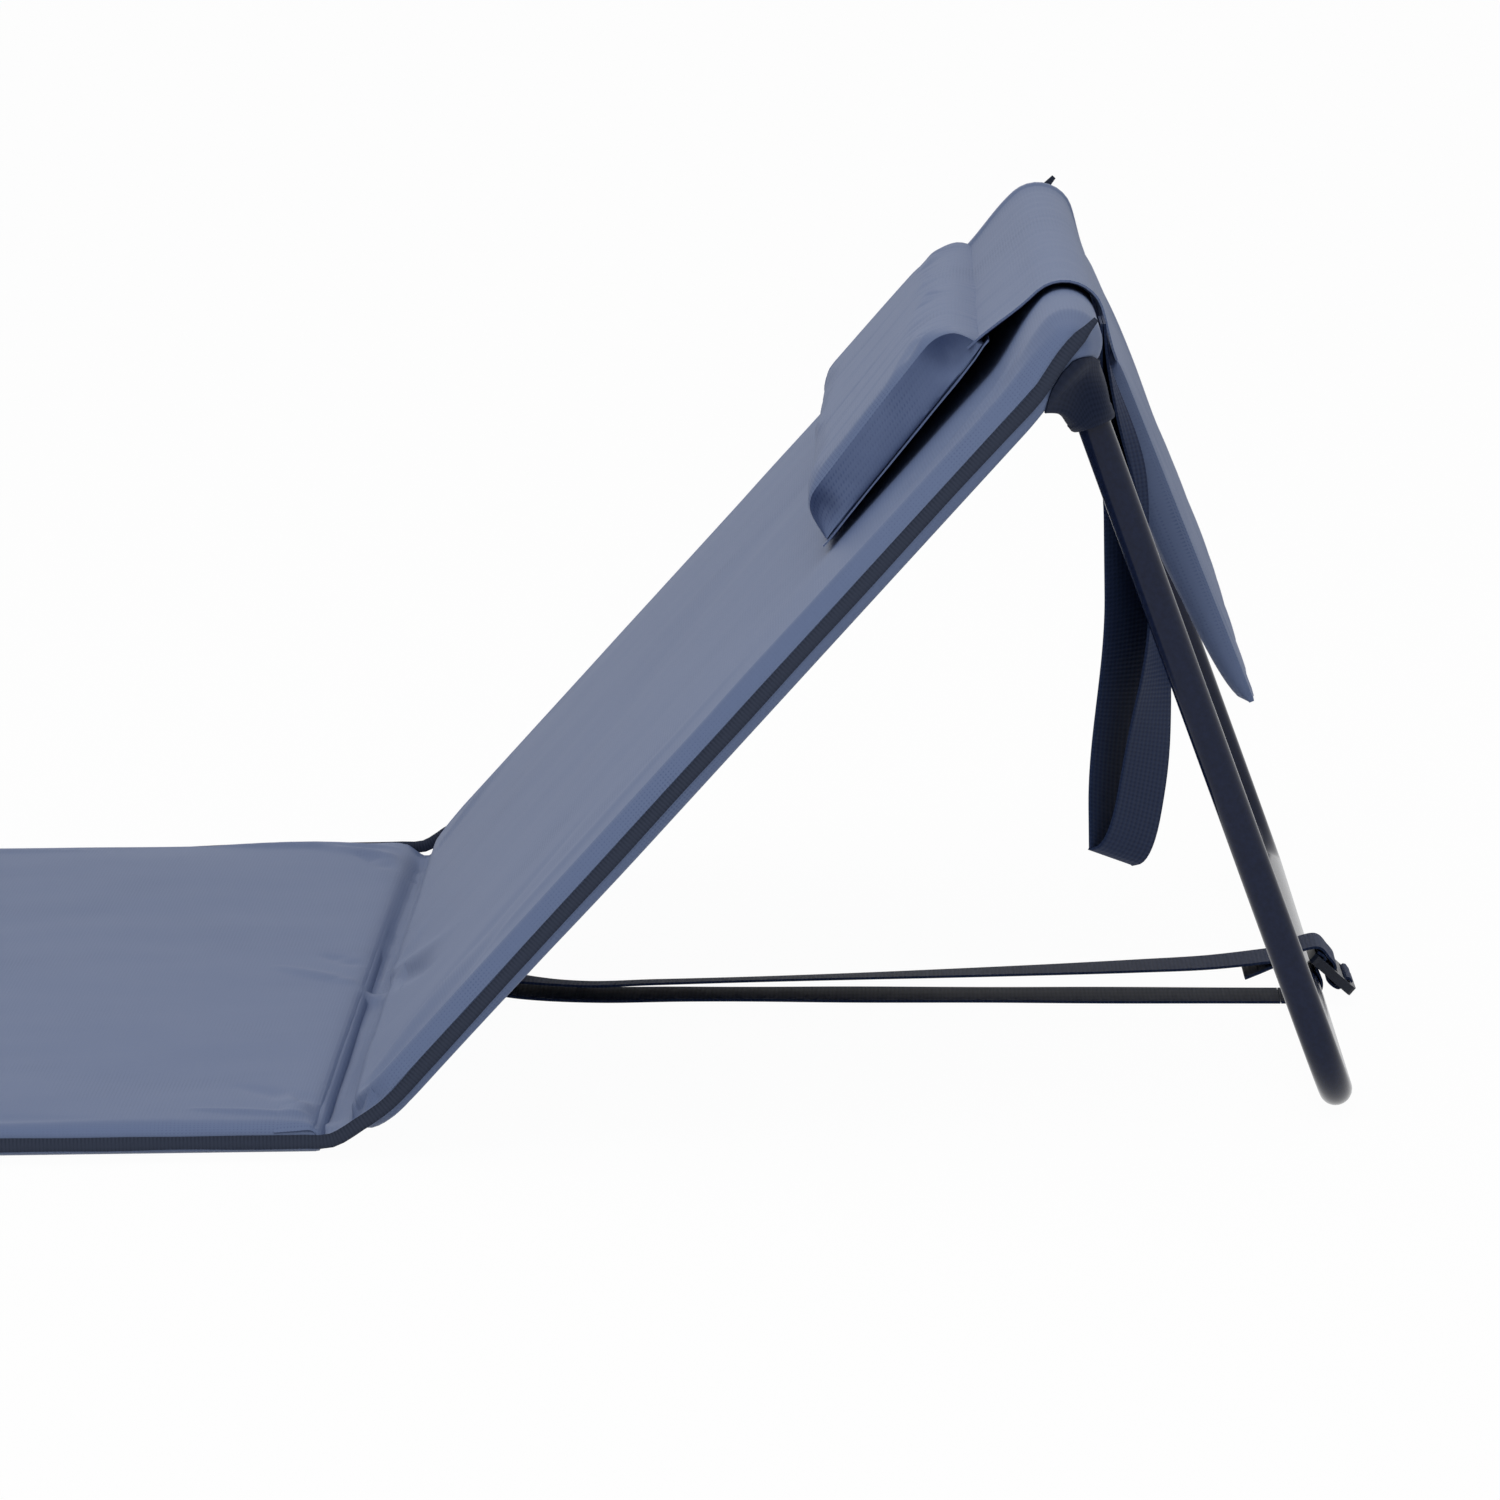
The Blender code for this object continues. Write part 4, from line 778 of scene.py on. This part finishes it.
def cuff(word, side):
    """A sleeve round the top of the leg, which flares over the rear of the backrest as far as the tape."""
    forward = Vector((cos(LEG_LEAN), 0.0, sin(LEG_LEAN)))
    middle = PIVOT + ACROSS * side * (LEG_Y + CUFF_ASIDE)
    rows = []
    for step in range(CUFF_STEPS):
        a = 2 * pi * step / CUFF_STEPS
        spoke = forward * (CUFF_X * cos(a)) + ACROSS * (CUFF_Y * sin(a))
        square = Vector((cos(a) / sqrt(abs(cos(a)) + 0.001), sin(a) / sqrt(abs(sin(a)) + 0.001)))
        outer = max(0.0, side * square.y) ** 2
        root = forward * (square.x * (CUFF_X + 0.010 * outer) - 0.006 * outer)
        root += ACROSS * (CUFF_Y * square.y + side * CUFF_FLARE * outer)
        rim = 0.0
        for _ in range(4):
            s = BACK_LENGTH + PIVOT_S + BACK_UP.dot(LEG_DOWN * rim + root)
            behind = rear_half(min(s, BACK_LENGTH), middle.y + root.y) + CUFF_CLEAR
            rim = -(behind + PIVOT_N + BACK_OUT.dot(root)) / BACK_OUT.dot(LEG_DOWN)
        top = middle + LEG_DOWN * rim + root
        foot = middle + LEG_DOWN * CUFF_DOWN + spoke * CUFF_TAPER
        row = []
        for t in spread(0.0, 1.0, 0.04):
            hem = 0.0006 * ease((t - 0.76) / 0.04) * (1 - ease((t - 0.98) / 0.02))
            crease = 0.0007 * sin(3 * a + 5 * t) + 0.0006 * ripple(a, t * 2, 0.9, 41.0 + side)
            point = top.lerp(foot, t) + (spoke - root) * (CUFF_BELLY * sin(pi * t) * (1 - t))
            point += spoke.normalized() * (hem + crease * sin(pi * t))
            s = BACK_UP.dot(point - BACK_FOOT)
            deep = BACK_OUT.dot(point - BACK_FOOT)
            if s < BACK_LENGTH:
                point -= BACK_OUT * max(0.0, deep + rear_half(s, point.y) + CUFF_CLEAR)
            row.append(point)
        rows.append(row)
    sleeve = sewn(f"cuff_{word}", rows, CUFF_CLOTH, FABRIC, 60, around=True, turned=True)
    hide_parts(f"pivot_cuff_{word}")
    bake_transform(sleeve)


for word, side in SIDES:
    cuff(word, side)

# Adjusting strap: flat webbing with a lower and an upper run, both hooked through the buckle behind the bar
WEB_PLACES = (-0.5, -0.47, -0.3, -0.1, 0.1, 0.3, 0.47, 0.5)
WRAP_R = LEG_R + STRAP_GAP + WEB_T / 2
LOW_Z = BAR_Z - WRAP_R
HIGH_Z = BAR_Z + WRAP_R
RUN_END = BAR.x - STRAP_CUT
TAB_N = -(BACK_HALF + FIT + WEB_T / 2)
WEB_TWIST = 0.030
UPPER_SAG = 0.0139
UPPER_RISE = 0.0036
LOWER_RISE = 0.0056
WRAP_START = RUN_END + 0.0004


def webbing(name, line, seed, step, lean=0.0):
    """Flat webbing along a line of (x, z) points, with a little twist and a lean that fades along it."""
    path = smooth_path([Vector((x, STRAP_Y, z)) for x, z in line], step)
    along = lengths(path)
    total = along[-1]
    rows = []
    for p, up, d in zip(path, [t.cross(ACROSS) for t in directions(path)], along):
        free = sin(pi * d / total)
        roll = WEB_TWIST * free * ripple(d, seed, 0.12, seed)
        roll += lean * ease(d / 0.08) * (1 - ease((d / total - 0.45) / 0.6))
        rows.append([p + ACROSS * (y * WEB_W) + up * (y * WEB_W * roll) for y in WEB_PLACES])
    strap = sewn(name, rows, WEBBING, WEB_T, 50, turned=True)
    return strap


def tab(low, high):
    return [(p.x, p.z) for p in (back_point(s, 0.0, TAB_N) for s in (low, high))]


low_line = tab(0.012, 0.022)
leave_x, leave_z = low_line[-1]
low_rest = LOW_Z + LOWER_RISE
for along, down in ((0.008, 0.0), (0.022, 0.30), (0.050, 0.74), (0.095, 0.97), (0.15, 1.0)):
    low_line.append((leave_x + along, leave_z + (low_rest - leave_z) * down))
low_x = low_line[-1][0]
low_line += [(low_x + (RUN_END - low_x) * k / 3, low_rest + (LOW_Z - low_rest) * k / 3) for k in range(1, 4)]
high_line = tab(0.0245, 0.0310)
leave_x, leave_z = high_line[-1]
for k in range(1, 13):
    t = k / 12
    sag = UPPER_SAG * sqrt(1 - t) * ease(t / 0.14)
    high_line.append((leave_x + (RUN_END - leave_x) * t, leave_z + (HIGH_Z + UPPER_RISE - leave_z) * t - sag))
end_line = [
    (RUN_END - before, HIGH_Z + rise) for before, rise in ((0.0205, -0.0063), (0.012, -0.0030), (0.001, 0.0016))
]
for name, line, node, seed, lean in (
    ("strap_lower", low_line, "strap_lower_run", 0.0, 0.0),
    ("strap_upper", high_line, "strap_upper_run", 43.0, -0.11),
    ("strap_loose_end", end_line, "strap_tail_end", 47.0, 0.0),
):
    strap = webbing(name, line, seed, 0.003, lean)
    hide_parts(node)
    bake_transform(strap)

SLOT = 0.0042
SLOT_PITCH = 0.0085
SLOT_START = 0.0045
SLOTS = [SLOT_START + SLOT / 2 + k * SLOT_PITCH for k in range(3)]
FACE = BUCKLE_T / 2 + FIT + WEB_T / 2


def buckle_point(along, up):
    c = cos(BUCKLE_TILT)
    s = sin(BUCKLE_TILT)
    return BAR.x + BUCKLE_BACK + along * c - up * s, BAR_Z + BUCKLE_UP + along * s + up * c


wrap_line = [(WRAP_START, LOW_Z), (BAR.x - 0.008, LOW_Z)]
for k in range(8):
    a = -pi / 2 + pi * 2 / 3 * k / 7
    wrap_line.append((BAR.x + WRAP_R * cos(a), BAR_Z + WRAP_R * sin(a)))
wrap_line += [buckle_point(SLOTS[0], -FACE), buckle_point(SLOTS[0], FACE), buckle_point(SLOT_START * 0.2, FACE)]
over_line = [(WRAP_START, HIGH_Z + UPPER_RISE), (BAR.x - 0.006, HIGH_Z + 0.0080)]
over_line += [buckle_point(along, FACE + WEB_T + 2 * FIT) for along in (-0.001, SLOTS[0] + WEB_T)]
over_line += [buckle_point(SLOTS[1], FACE), buckle_point(SLOTS[1], -FACE)]
over_line += [buckle_point(SLOTS[2], -FACE), buckle_point(SLOTS[2], FACE), buckle_point(BUCKLE_L * 0.88, FACE)]
for name, line, node, height, join in (
    ("strap_round_bar", wrap_line, "strap_bar_wrap", LOW_Z, BAR.x - 0.006),
    ("strap_over_bar", over_line, "strap_upper_wrap", HIGH_Z, BAR.x + 0.008),
):
    strap = webbing(name, line, 0.0, 0.0012)
    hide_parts(node)
    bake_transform(strap)


# Headrest: a cushion in front, a flap over the roll and a flat pouch behind
FLAP_R = ROLL_R + FIT + FLAP_T / 2 + 0.0002
PILLOW_HIGH = PILLOW_LOW + PILLOW_TALL
PILLOW_HUNG = 0.0080
PILLOW_GAP = 2 * FIT + FLAP_T + 0.0018
POUCH_DOWN = Vector((sin(POUCH_LEAN), 0.0, -cos(POUCH_LEAN)))
POUCH_OUT = Vector((cos(POUCH_LEAN), 0.0, sin(POUCH_LEAN)))
FLAP_OFF = TOP + POUCH_OUT * FLAP_R


def near_share(y):
    """From 0 at the far end of the headrest to 1 at the near end."""
    return (REST_HALF - y) / (2 * REST_HALF)


def pillow_back(t, y):
    """The flap's pull lifts the top of the cushion off the backrest, most at the near end."""
    return front_half(PILLOW_LOW + t, 0.0) + PILLOW_GAP + PILLOW_HUNG * near_share(y) * t / PILLOW_TALL


FLAP_YS = panel_places(REST_HALF, 0.03, 0.0025, 0.006)
FLAP_START = pillow_back(PILLOW_TALL, 0.0) + 0.0022
flap_knots = []
for share in (0.0, 0.35, 0.70):
    along = PILLOW_HIGH - 0.008 + (BACK_LENGTH - PILLOW_HIGH) * share
    flap_knots.append(back_point(along, 0.0, FLAP_START + (FLAP_R + 0.0006 - FLAP_START) * share))
for a in spread(radians(84), POUCH_LEAN - RECLINE, radians(12)):
    flap_knots.append(back_point(BACK_LENGTH + FLAP_R * cos(a), 0.0, FLAP_R * sin(a)))
flap_knots += [FLAP_OFF + POUCH_DOWN * d for d in (0.012, 0.022, POUCH_TOP - 0.0001)]
flap_path = smooth_path(flap_knots, 0.003)
flap_along = lengths(flap_path)
FLAP_LENGTH = flap_along[-1]
flap_rows = []
for p, t, d in zip(flap_path, directions(flap_path), flap_along):
    up = t.cross(ACROSS)
    row = []
    for y in FLAP_YS:
        inset = REST_HALF - abs(y)
        hem = 0.0010 * (1 - ease((inset - 0.010) / 0.002)) + 0.0012 * exp(-((inset / 0.020) ** 2))
        hem += PILLOW_HUNG * (near_share(y) - 0.5) * (1 - ease(d / 0.045))
        gather = 0.0005 * ripple(y, d * 0.3, 0.012, 51.0) * (1 - ease(d / 0.040))
        slack = 0.0006 * (1 + ripple(y, d, 0.07, 53.0)) + 0.0004 * (1 + ripple(y, d * 0.2, 0.02, 57.0))
        flush = ease((FLAP_LENGTH - d) / 0.035)
        row.append(p + ACROSS * y + up * ((hem + max(0.0, gather) + slack) * flush))
    flap_rows.append(row)
flap = sewn("headrest_flap_cloth", flap_rows, SLATE, FLAP_T, 60)
place(flap, "headrest", "slate_fabric", "headrest_flap")


def pillow_front(t, y):
    """Front of the cushion over its back: a flat box form with quick, rounded ends, thicker at the near end."""
    full = PILLOW_FAR + (PILLOW_NEAR - PILLOW_FAR) * near_share(y) + 0.002 * (1 - (y / REST_HALF) ** 2)
    along = min(1.0, t / 0.016, (PILLOW_TALL - t) / 0.022)
    across = min(1.0, (REST_HALF - abs(y)) / 0.012)
    lens = dome(along) * (0.90 + 0.10 * dome(across))
    return full * (0.05 + 0.95 * lens) * (0.94 + 0.10 * t / PILLOW_TALL)


# Folds of the cushion as (up, across, up, across, width, height)
PILLOW_FOLDS = [
    (0.010, -0.300, 0.120, -0.270, 0.0060, -0.0010),
    (0.020, -0.210, 0.125, -0.190, 0.0050, -0.0009),
    (0.008, -0.120, 0.100, -0.110, 0.0060, -0.0010),
    (0.030, 0.020, 0.125, 0.030, 0.0060, -0.0009),
    (0.010, 0.150, 0.110, 0.170, 0.0070, -0.0009),
    (0.096, -0.366, 0.132, -0.310, 0.0040, -0.0030),
    (0.108, -0.368, 0.134, -0.335, 0.0035, 0.0028),
    (0.086, -0.369, 0.120, -0.290, 0.0050, 0.0018),
    (0.002, -0.366, 0.030, -0.335, 0.0040, -0.0026),
    (0.001, -0.350, 0.024, -0.310, 0.0040, 0.0018),
    (0.100, 0.365, 0.132, 0.320, 0.0040, -0.0024),
    (0.002, 0.366, 0.030, 0.335, 0.0040, -0.0022),
]


# Farthest that the filling may push the cushion's cloth, and the frames it takes to settle
PUFF = 0.0022
SETTLE = 20
SEAM_CREASE = 0.85
TUCK = 0.0110


def cushion():
    ts = spread(0.0, PILLOW_TALL, 0.0042)
    ys = spread(-REST_HALF, REST_HALF, 0.0045)
    front = []
    for t in ts:
        row = []
        for y in ys:
            high = pillow_front(t, y)
            lean = 1.0 + 0.06 * high / REST_HALF * ease((abs(y) / REST_HALF - 0.8) / 0.2)
            row.append(back_point(PILLOW_LOW + t, y * lean, pillow_back(t, y) + FABRIC + high))
        front.append(row)
    back = [[back_point(PILLOW_LOW + t, y, pillow_back(t, y) + FABRIC) for y in ys] for t in ts]
    pillow = padding("headrest_cushion", front, back, SLATE, wall=4)
    start = [v.co.copy() for v in pillow.data.vertices]
    size = len(ts) * len(ys)
    held = pillow.vertex_groups.new(name="sewn")
    held.add(list(range(size, 2 * size)), 1.0, "REPLACE")
    cloth = pillow.modifiers.new("filling", "CLOTH")
    cloth.settings.quality = 6
    cloth.settings.mass = 0.15
    cloth.settings.tension_stiffness = 12.0
    cloth.settings.compression_stiffness = 12.0
    cloth.settings.bending_stiffness = 0.3
    cloth.settings.shrink_min = -0.012
    cloth.settings.use_pressure = True
    cloth.settings.uniform_pressure_force = 2.5
    cloth.settings.vertex_group_mass = "sewn"
    cloth.settings.effector_weights.gravity = 0.0
    cloth.point_cache.frame_end = SETTLE
    for number in range(1, SETTLE + 1):
        SCENE.frame_set(number)
    apply_all(pillow)
    SCENE.frame_set(1)
    pillow.vertex_groups.clear()
    for index, (vert, first) in enumerate(zip(pillow.data.vertices, start)):
        move = vert.co - first
        if move.length > PUFF:
            vert.co = first + move * (PUFF / move.length)
        if index < size:
            t = ts[index // len(ys)]
            y = ys[index % len(ys)]
            fade = ease(min(t, PILLOW_TALL - t) / 0.008)
            gather = 0.0005 * ripple(y, t * 0.4, 0.010, 61.0) * exp(-min(t, PILLOW_TALL - t) / 0.014)
            crumple = 0.0004 * ripple(t * 0.15, y, 0.011, 65.0)
            drawn = sum(fold(t, y, line) for line in PILLOW_FOLDS)
            vert.co += BACK_OUT * fade * (gather + crumple + drawn)
        elif index >= 2 * size:
            rest = first - back_point(PILLOW_LOW, 0.0, 0.0)
            t = rest.x * C + rest.z * S
            deep = (-rest.x * S + rest.z * C - pillow_back(min(max(t, 0.0), PILLOW_TALL), first.y)) / PILLOW_NEAR
            if abs(first.y) > REST_HALF - 0.002:
                tuck = exp(-((t - 0.011) / 0.007) ** 2) + 1.2 * exp(-((PILLOW_TALL - t - 0.016) / 0.009) ** 2)
                sag = 0.0030 * ripple(t, deep * 0.02, 0.030, 67.0)
                inward = sin(pi * min(1.0, max(0.0, deep))) * (1 if first.y > 0 else -1)
                vert.co.y -= (TUCK * tuck + sag) * inward
    seams = {i * len(ys) + j for i in range(len(ts)) for j in (0, len(ys) - 1)}
    crease = pillow.data.attributes.new("crease_edge", "FLOAT", "EDGE")
    for edge in pillow.data.edges:
        crease.data[edge.index].value = SEAM_CREASE * (edge.vertices[0] in seams and edge.vertices[1] in seams)
    soften(pillow)
    shade(pillow, 45)
    place(pillow, "headrest", "slate_fabric", "pillow_front_cover", "pillow_filling")


cushion()

# The cushion's back, sewn to it with a narrow flange all round
FLANGE = 0.0035
backing_rows = []
for t in spread(-FLANGE, PILLOW_TALL + FLANGE, 0.0045):
    held = min(max(t, 0.0), PILLOW_TALL)
    row = []
    for y in spread(-REST_HALF - FLANGE, REST_HALF + FLANGE, 0.006):
        wave = 0.0005 * ripple(y, t, 0.02, 63.0)
        row.append(back_point(PILLOW_LOW + t, y, pillow_back(held, y) + wave * (abs(y) > REST_HALF or t != held)))
    backing_rows.append(row)
backing = sewn("cushion_backing", backing_rows, SLATE, FABRIC, 60)
place(backing, "headrest", "slate_fabric", "pillow_back_cover")

# Pouch: two cloths sewn flat at the edges, hanging in long folds, with twin seams along each side
POUCH_DEEP = 0.017
POUCH_SEAMS = (0.012, 0.020)
POUCH_SEAM_WIDE = 0.0016


def pouch_point(t, y, w):
    return FLAP_OFF + POUCH_DOWN * (POUCH_TOP + t) + POUCH_OUT * w + ACROSS * y


def pouch_half(t, y, way):
    """Depth of one cloth from the pouch's middle; way is -1 on the fuller cloth, which faces the backrest."""
    inner = way < 0
    inset = REST_HALF - abs(y)
    across = min(1.0, inset / (0.012 if inner else 0.05))
    along = min(1.0, t / (POUCH_LENGTH * 0.22), (POUCH_LENGTH - t) / (POUCH_LENGTH * (0.75 if inner else 0.22)))
    lift = dome(across) * dome(along)
    seam = sum(exp(-((inset - d) / POUCH_SEAM_WIDE) ** 2) for d in POUCH_SEAMS)
    hang = ease(t / 0.04) * ease(inset / 0.02)
    deep = (POUCH_DEEP if inner else POUCH_THICK * 0.15) * (0.06 + 0.94 * lift)
    folds = (0.0050 if inner else 0.0022) * ripple(y, t * 0.22, 0.035, 71.0 + way) * hang
    folds += 0.0010 * ripple(y, t * 0.3, 0.012, 73.0 + way) * hang
    full = 0.0006 + deep + max(folds, -deep * 0.8) - 0.0012 * seam * lift
    return 0.0002 + full * ease(t / 0.006)


def pouch():
    ts = spread(0.0, POUCH_LENGTH, 0.004)
    ys = panel_places(REST_HALF, 0.04, 0.0012, 0.0045)
    sides = []
    for way in (1.0, -1.0):
        sides.append([[pouch_point(t, y, way * pouch_half(t, y, way)) for y in ys] for t in ts])
    bag = padding("pouch_cloth", sides[0], sides[1], SLATE)
    shade(bag, 60)
    place(bag, "pouch", "slate_fabric", "pouch_outer_cover", "pouch_inner_cover", "pouch_filling")


pouch()

# Carrying loop: one length of webbing, folded at the foot, its front strand bowed out and turned as it comes down
LOOP_X = TOP.x + ROLL_R + FIT + WEB_T + FIT / 2
LOOP_HEAD = Vector((LOOP_X, LOOP_Y, TOP.z + 0.004))
LOOP_BELLY = 0.76
LOOP_SLANT = 0.015


def loop_row(t, way):
    """A row across one strand, t of the way down; way is -1 on the strand behind and 1 on the one in front."""
    turn = LOOP_TURN * (ease(t / 0.30) if way < 0 else ease((t - 0.36) / 0.50))
    wide = Vector((sin(turn), cos(turn), 0.0)) * LOOP_W
    swing = 0.0128 * ease(t / 0.36) - 0.0098 * ease((t - 0.50) / 0.42)
    shut = sqrt(max(0.0, 1 - (max(0.0, t - LOOP_BELLY) / (1 - LOOP_BELLY)) ** 2))
    bow = LOOP_GAP * ease((t - 0.15) / 0.55) * shut
    out = swing + way * (WEB_T + FIT) / 2 + (bow if way > 0 else 0.0)
    middle = LOOP_HEAD + Vector((out, 0.0, -LOOP_DROP * t))
    slant = LOOP_SLANT * ease((t - 0.5) / 0.5)
    return [middle + wide * y - UPRIGHT * (slant * y) for y in WEB_PLACES]


LOOP_TS = spread(0.0, LOOP_BELLY, 0.015)[:-1]
LOOP_TS += [LOOP_BELLY + (1 - LOOP_BELLY) * sin(a) for a in spread(0.0, pi / 2, radians(6))]
loop_rows = [loop_row(t, 1) for t in LOOP_TS] + [loop_row(t, -1) for t in reversed(LOOP_TS)]
carry = sewn("carry_webbing", loop_rows, WEBBING, WEB_T, 50, turned=True)
place(carry, "carry_strap", "webbing", "carry_loop")

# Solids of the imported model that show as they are, each with its material
LOOKS = {"backrest_upper_frame": ENAMEL, "backrest_lower_frame": ENAMEL, "ladder_lock_buckle": ACETAL}
for word, _ in SIDES:
    LOOKS[f"pivot_plate_{word}"] = ENAMEL
    LOOKS[f"frame_joint_plug_{word}"] = ZINC
    LOOKS[f"pivot_rivet_{word}"] = ZINC
    LOOKS[f"pivot_washer_{word}"] = ACETAL
for name, look in LOOKS.items():
    node = bpy.data.objects[name]
    node.data.materials.clear()
    node.data.materials.append(look)

# Studio: a pale floor that fades into a white background, soft light from above, the left and the camera's side
WHITE = (1.0, 1.0, 1.0, 1.0)
FLOOR_SIZE = 80.0
FLOOR_DROP = 0.0005
FLOOR_GLOW = 0.97
FILL_LIGHT = 0.40


def straight_rays(look):
    """A node that is 1 for rays that show the studio itself: from the camera, mirrored or let through."""
    rays = add(look, "LightPath", {}, {}).outputs
    direct = add(look, "Math", {"operation": "MAXIMUM"}, {0: rays["Is Camera Ray"], 1: rays["Is Glossy Ray"]})
    return add(look, "Math", {"operation": "MAXIMUM"}, {0: direct.outputs[0], 1: rays["Is Transmission Ray"]})


# Painted floor board: matt white, with a faint cloudy tone
floor_look, floor_shader = surface("white_studio_floor", Roughness=0.9)
place_on = add(floor_look, "TexCoord", {}, {}).outputs["Object"]
grain = add(floor_look, "TexNoise", {}, {"Vector": place_on, "Scale": 3.0})
tone = add(floor_look, "ValToRGB", {}, {"Fac": grain.outputs["Fac"]})
tone.color_ramp.elements[0].color = srgb("#f2f2f2")
tone.color_ramp.elements[1].color = srgb("#f8f8f8")
floor_look.node_tree.links.new(tone.outputs["Color"], floor_shader.inputs["Base Color"])
seen = straight_rays(floor_look)
share = add(floor_look, "Math", {"operation": "MULTIPLY"}, {0: seen.outputs[0], 1: FLOOR_GLOW})
glow = add(floor_look, "Emission", {}, {"Color": WHITE, "Strength": 1.0})
mix = add(floor_look, "MixShader", {}, {0: share.outputs[0], 1: floor_shader.outputs[0], 2: glow.outputs[0]})
floor_look.node_tree.links.new(mix.outputs[0], floor_look.node_tree.nodes["Material Output"].inputs["Surface"])
bpy.ops.object.select_all(action="DESELECT")
bpy.ops.mesh.primitive_plane_add(size=FLOOR_SIZE, location=(0.0, 0.0, -FLOOR_DROP))
floor = bpy.context.object
floor.name = "studio_floor"
bpy.ops.object.transform_apply(location=True)
floor.data.materials.append(floor_look)

world = bpy.data.worlds.new("studio")
SCENE.world = world
world.use_nodes = True
sky = world.node_tree.nodes["Background"]
sky.inputs["Color"].default_value = WHITE
shown = straight_rays(world)
power = add(world, "MapRange", {}, {"Value": shown.outputs[0], "To Min": FILL_LIGHT, "To Max": 1.0})
world.node_tree.links.new(power.outputs["Result"], sky.inputs["Strength"])


def softbox(name, spot, aim, size, watts):
    lamp = bpy.data.lights.new(name, "AREA")
    lamp.shape = "DISK"
    lamp.size = size
    lamp.energy = watts
    obj = bpy.data.objects.new(name, lamp)
    obj.location = spot
    obj.rotation_euler = (Vector(aim) - Vector(spot)).to_track_quat("-Z", "Y").to_euler()
    SCENE.collection.objects.link(obj)


softbox("key_softbox", (-0.5, -2.0, 3.0), (0.2, 0.0, 0.2), 2.2, 21.0)
softbox("top_softbox", (0.6, 0.6, 3.4), (0.3, 0.0, 0.2), 2.5, 13.0)
softbox("camera_side_softbox", (0.4, -3.6, 1.5), (0.3, 0.0, 0.2), 1.6, 16.0)

# Camera, from the fit of the photograph
AZIMUTH = radians(0.79)
ELEVATION = radians(7.60)
ROLL = radians(-0.91)
DISTANCE = 5.34
LENS_MM = 220.4
SENSOR_MM = 36.0
TARGET = Vector((HX + 0.2086, 0.0, 0.145))
ahead = Vector((-sin(AZIMUTH) * cos(ELEVATION), cos(AZIMUTH) * cos(ELEVATION), -sin(ELEVATION)))
right = Vector((cos(AZIMUTH), sin(AZIMUTH), 0.0))
upward = right.cross(ahead)
right_rolled = right * cos(ROLL) + upward * sin(ROLL)
up_rolled = upward * cos(ROLL) - right * sin(ROLL)
lens = bpy.data.cameras.new("camera")
lens.lens = LENS_MM
lens.sensor_width = SENSOR_MM
lens.clip_end = 200.0
camera = bpy.data.objects.new("camera", lens)
turn = Matrix((right_rolled, up_rolled, -ahead)).transposed().to_4x4()
camera.matrix_world = Matrix.Translation(TARGET - ahead * DISTANCE) @ turn
SCENE.collection.objects.link(camera)
SCENE.camera = camera
SCENE.view_settings.view_transform = "Standard"
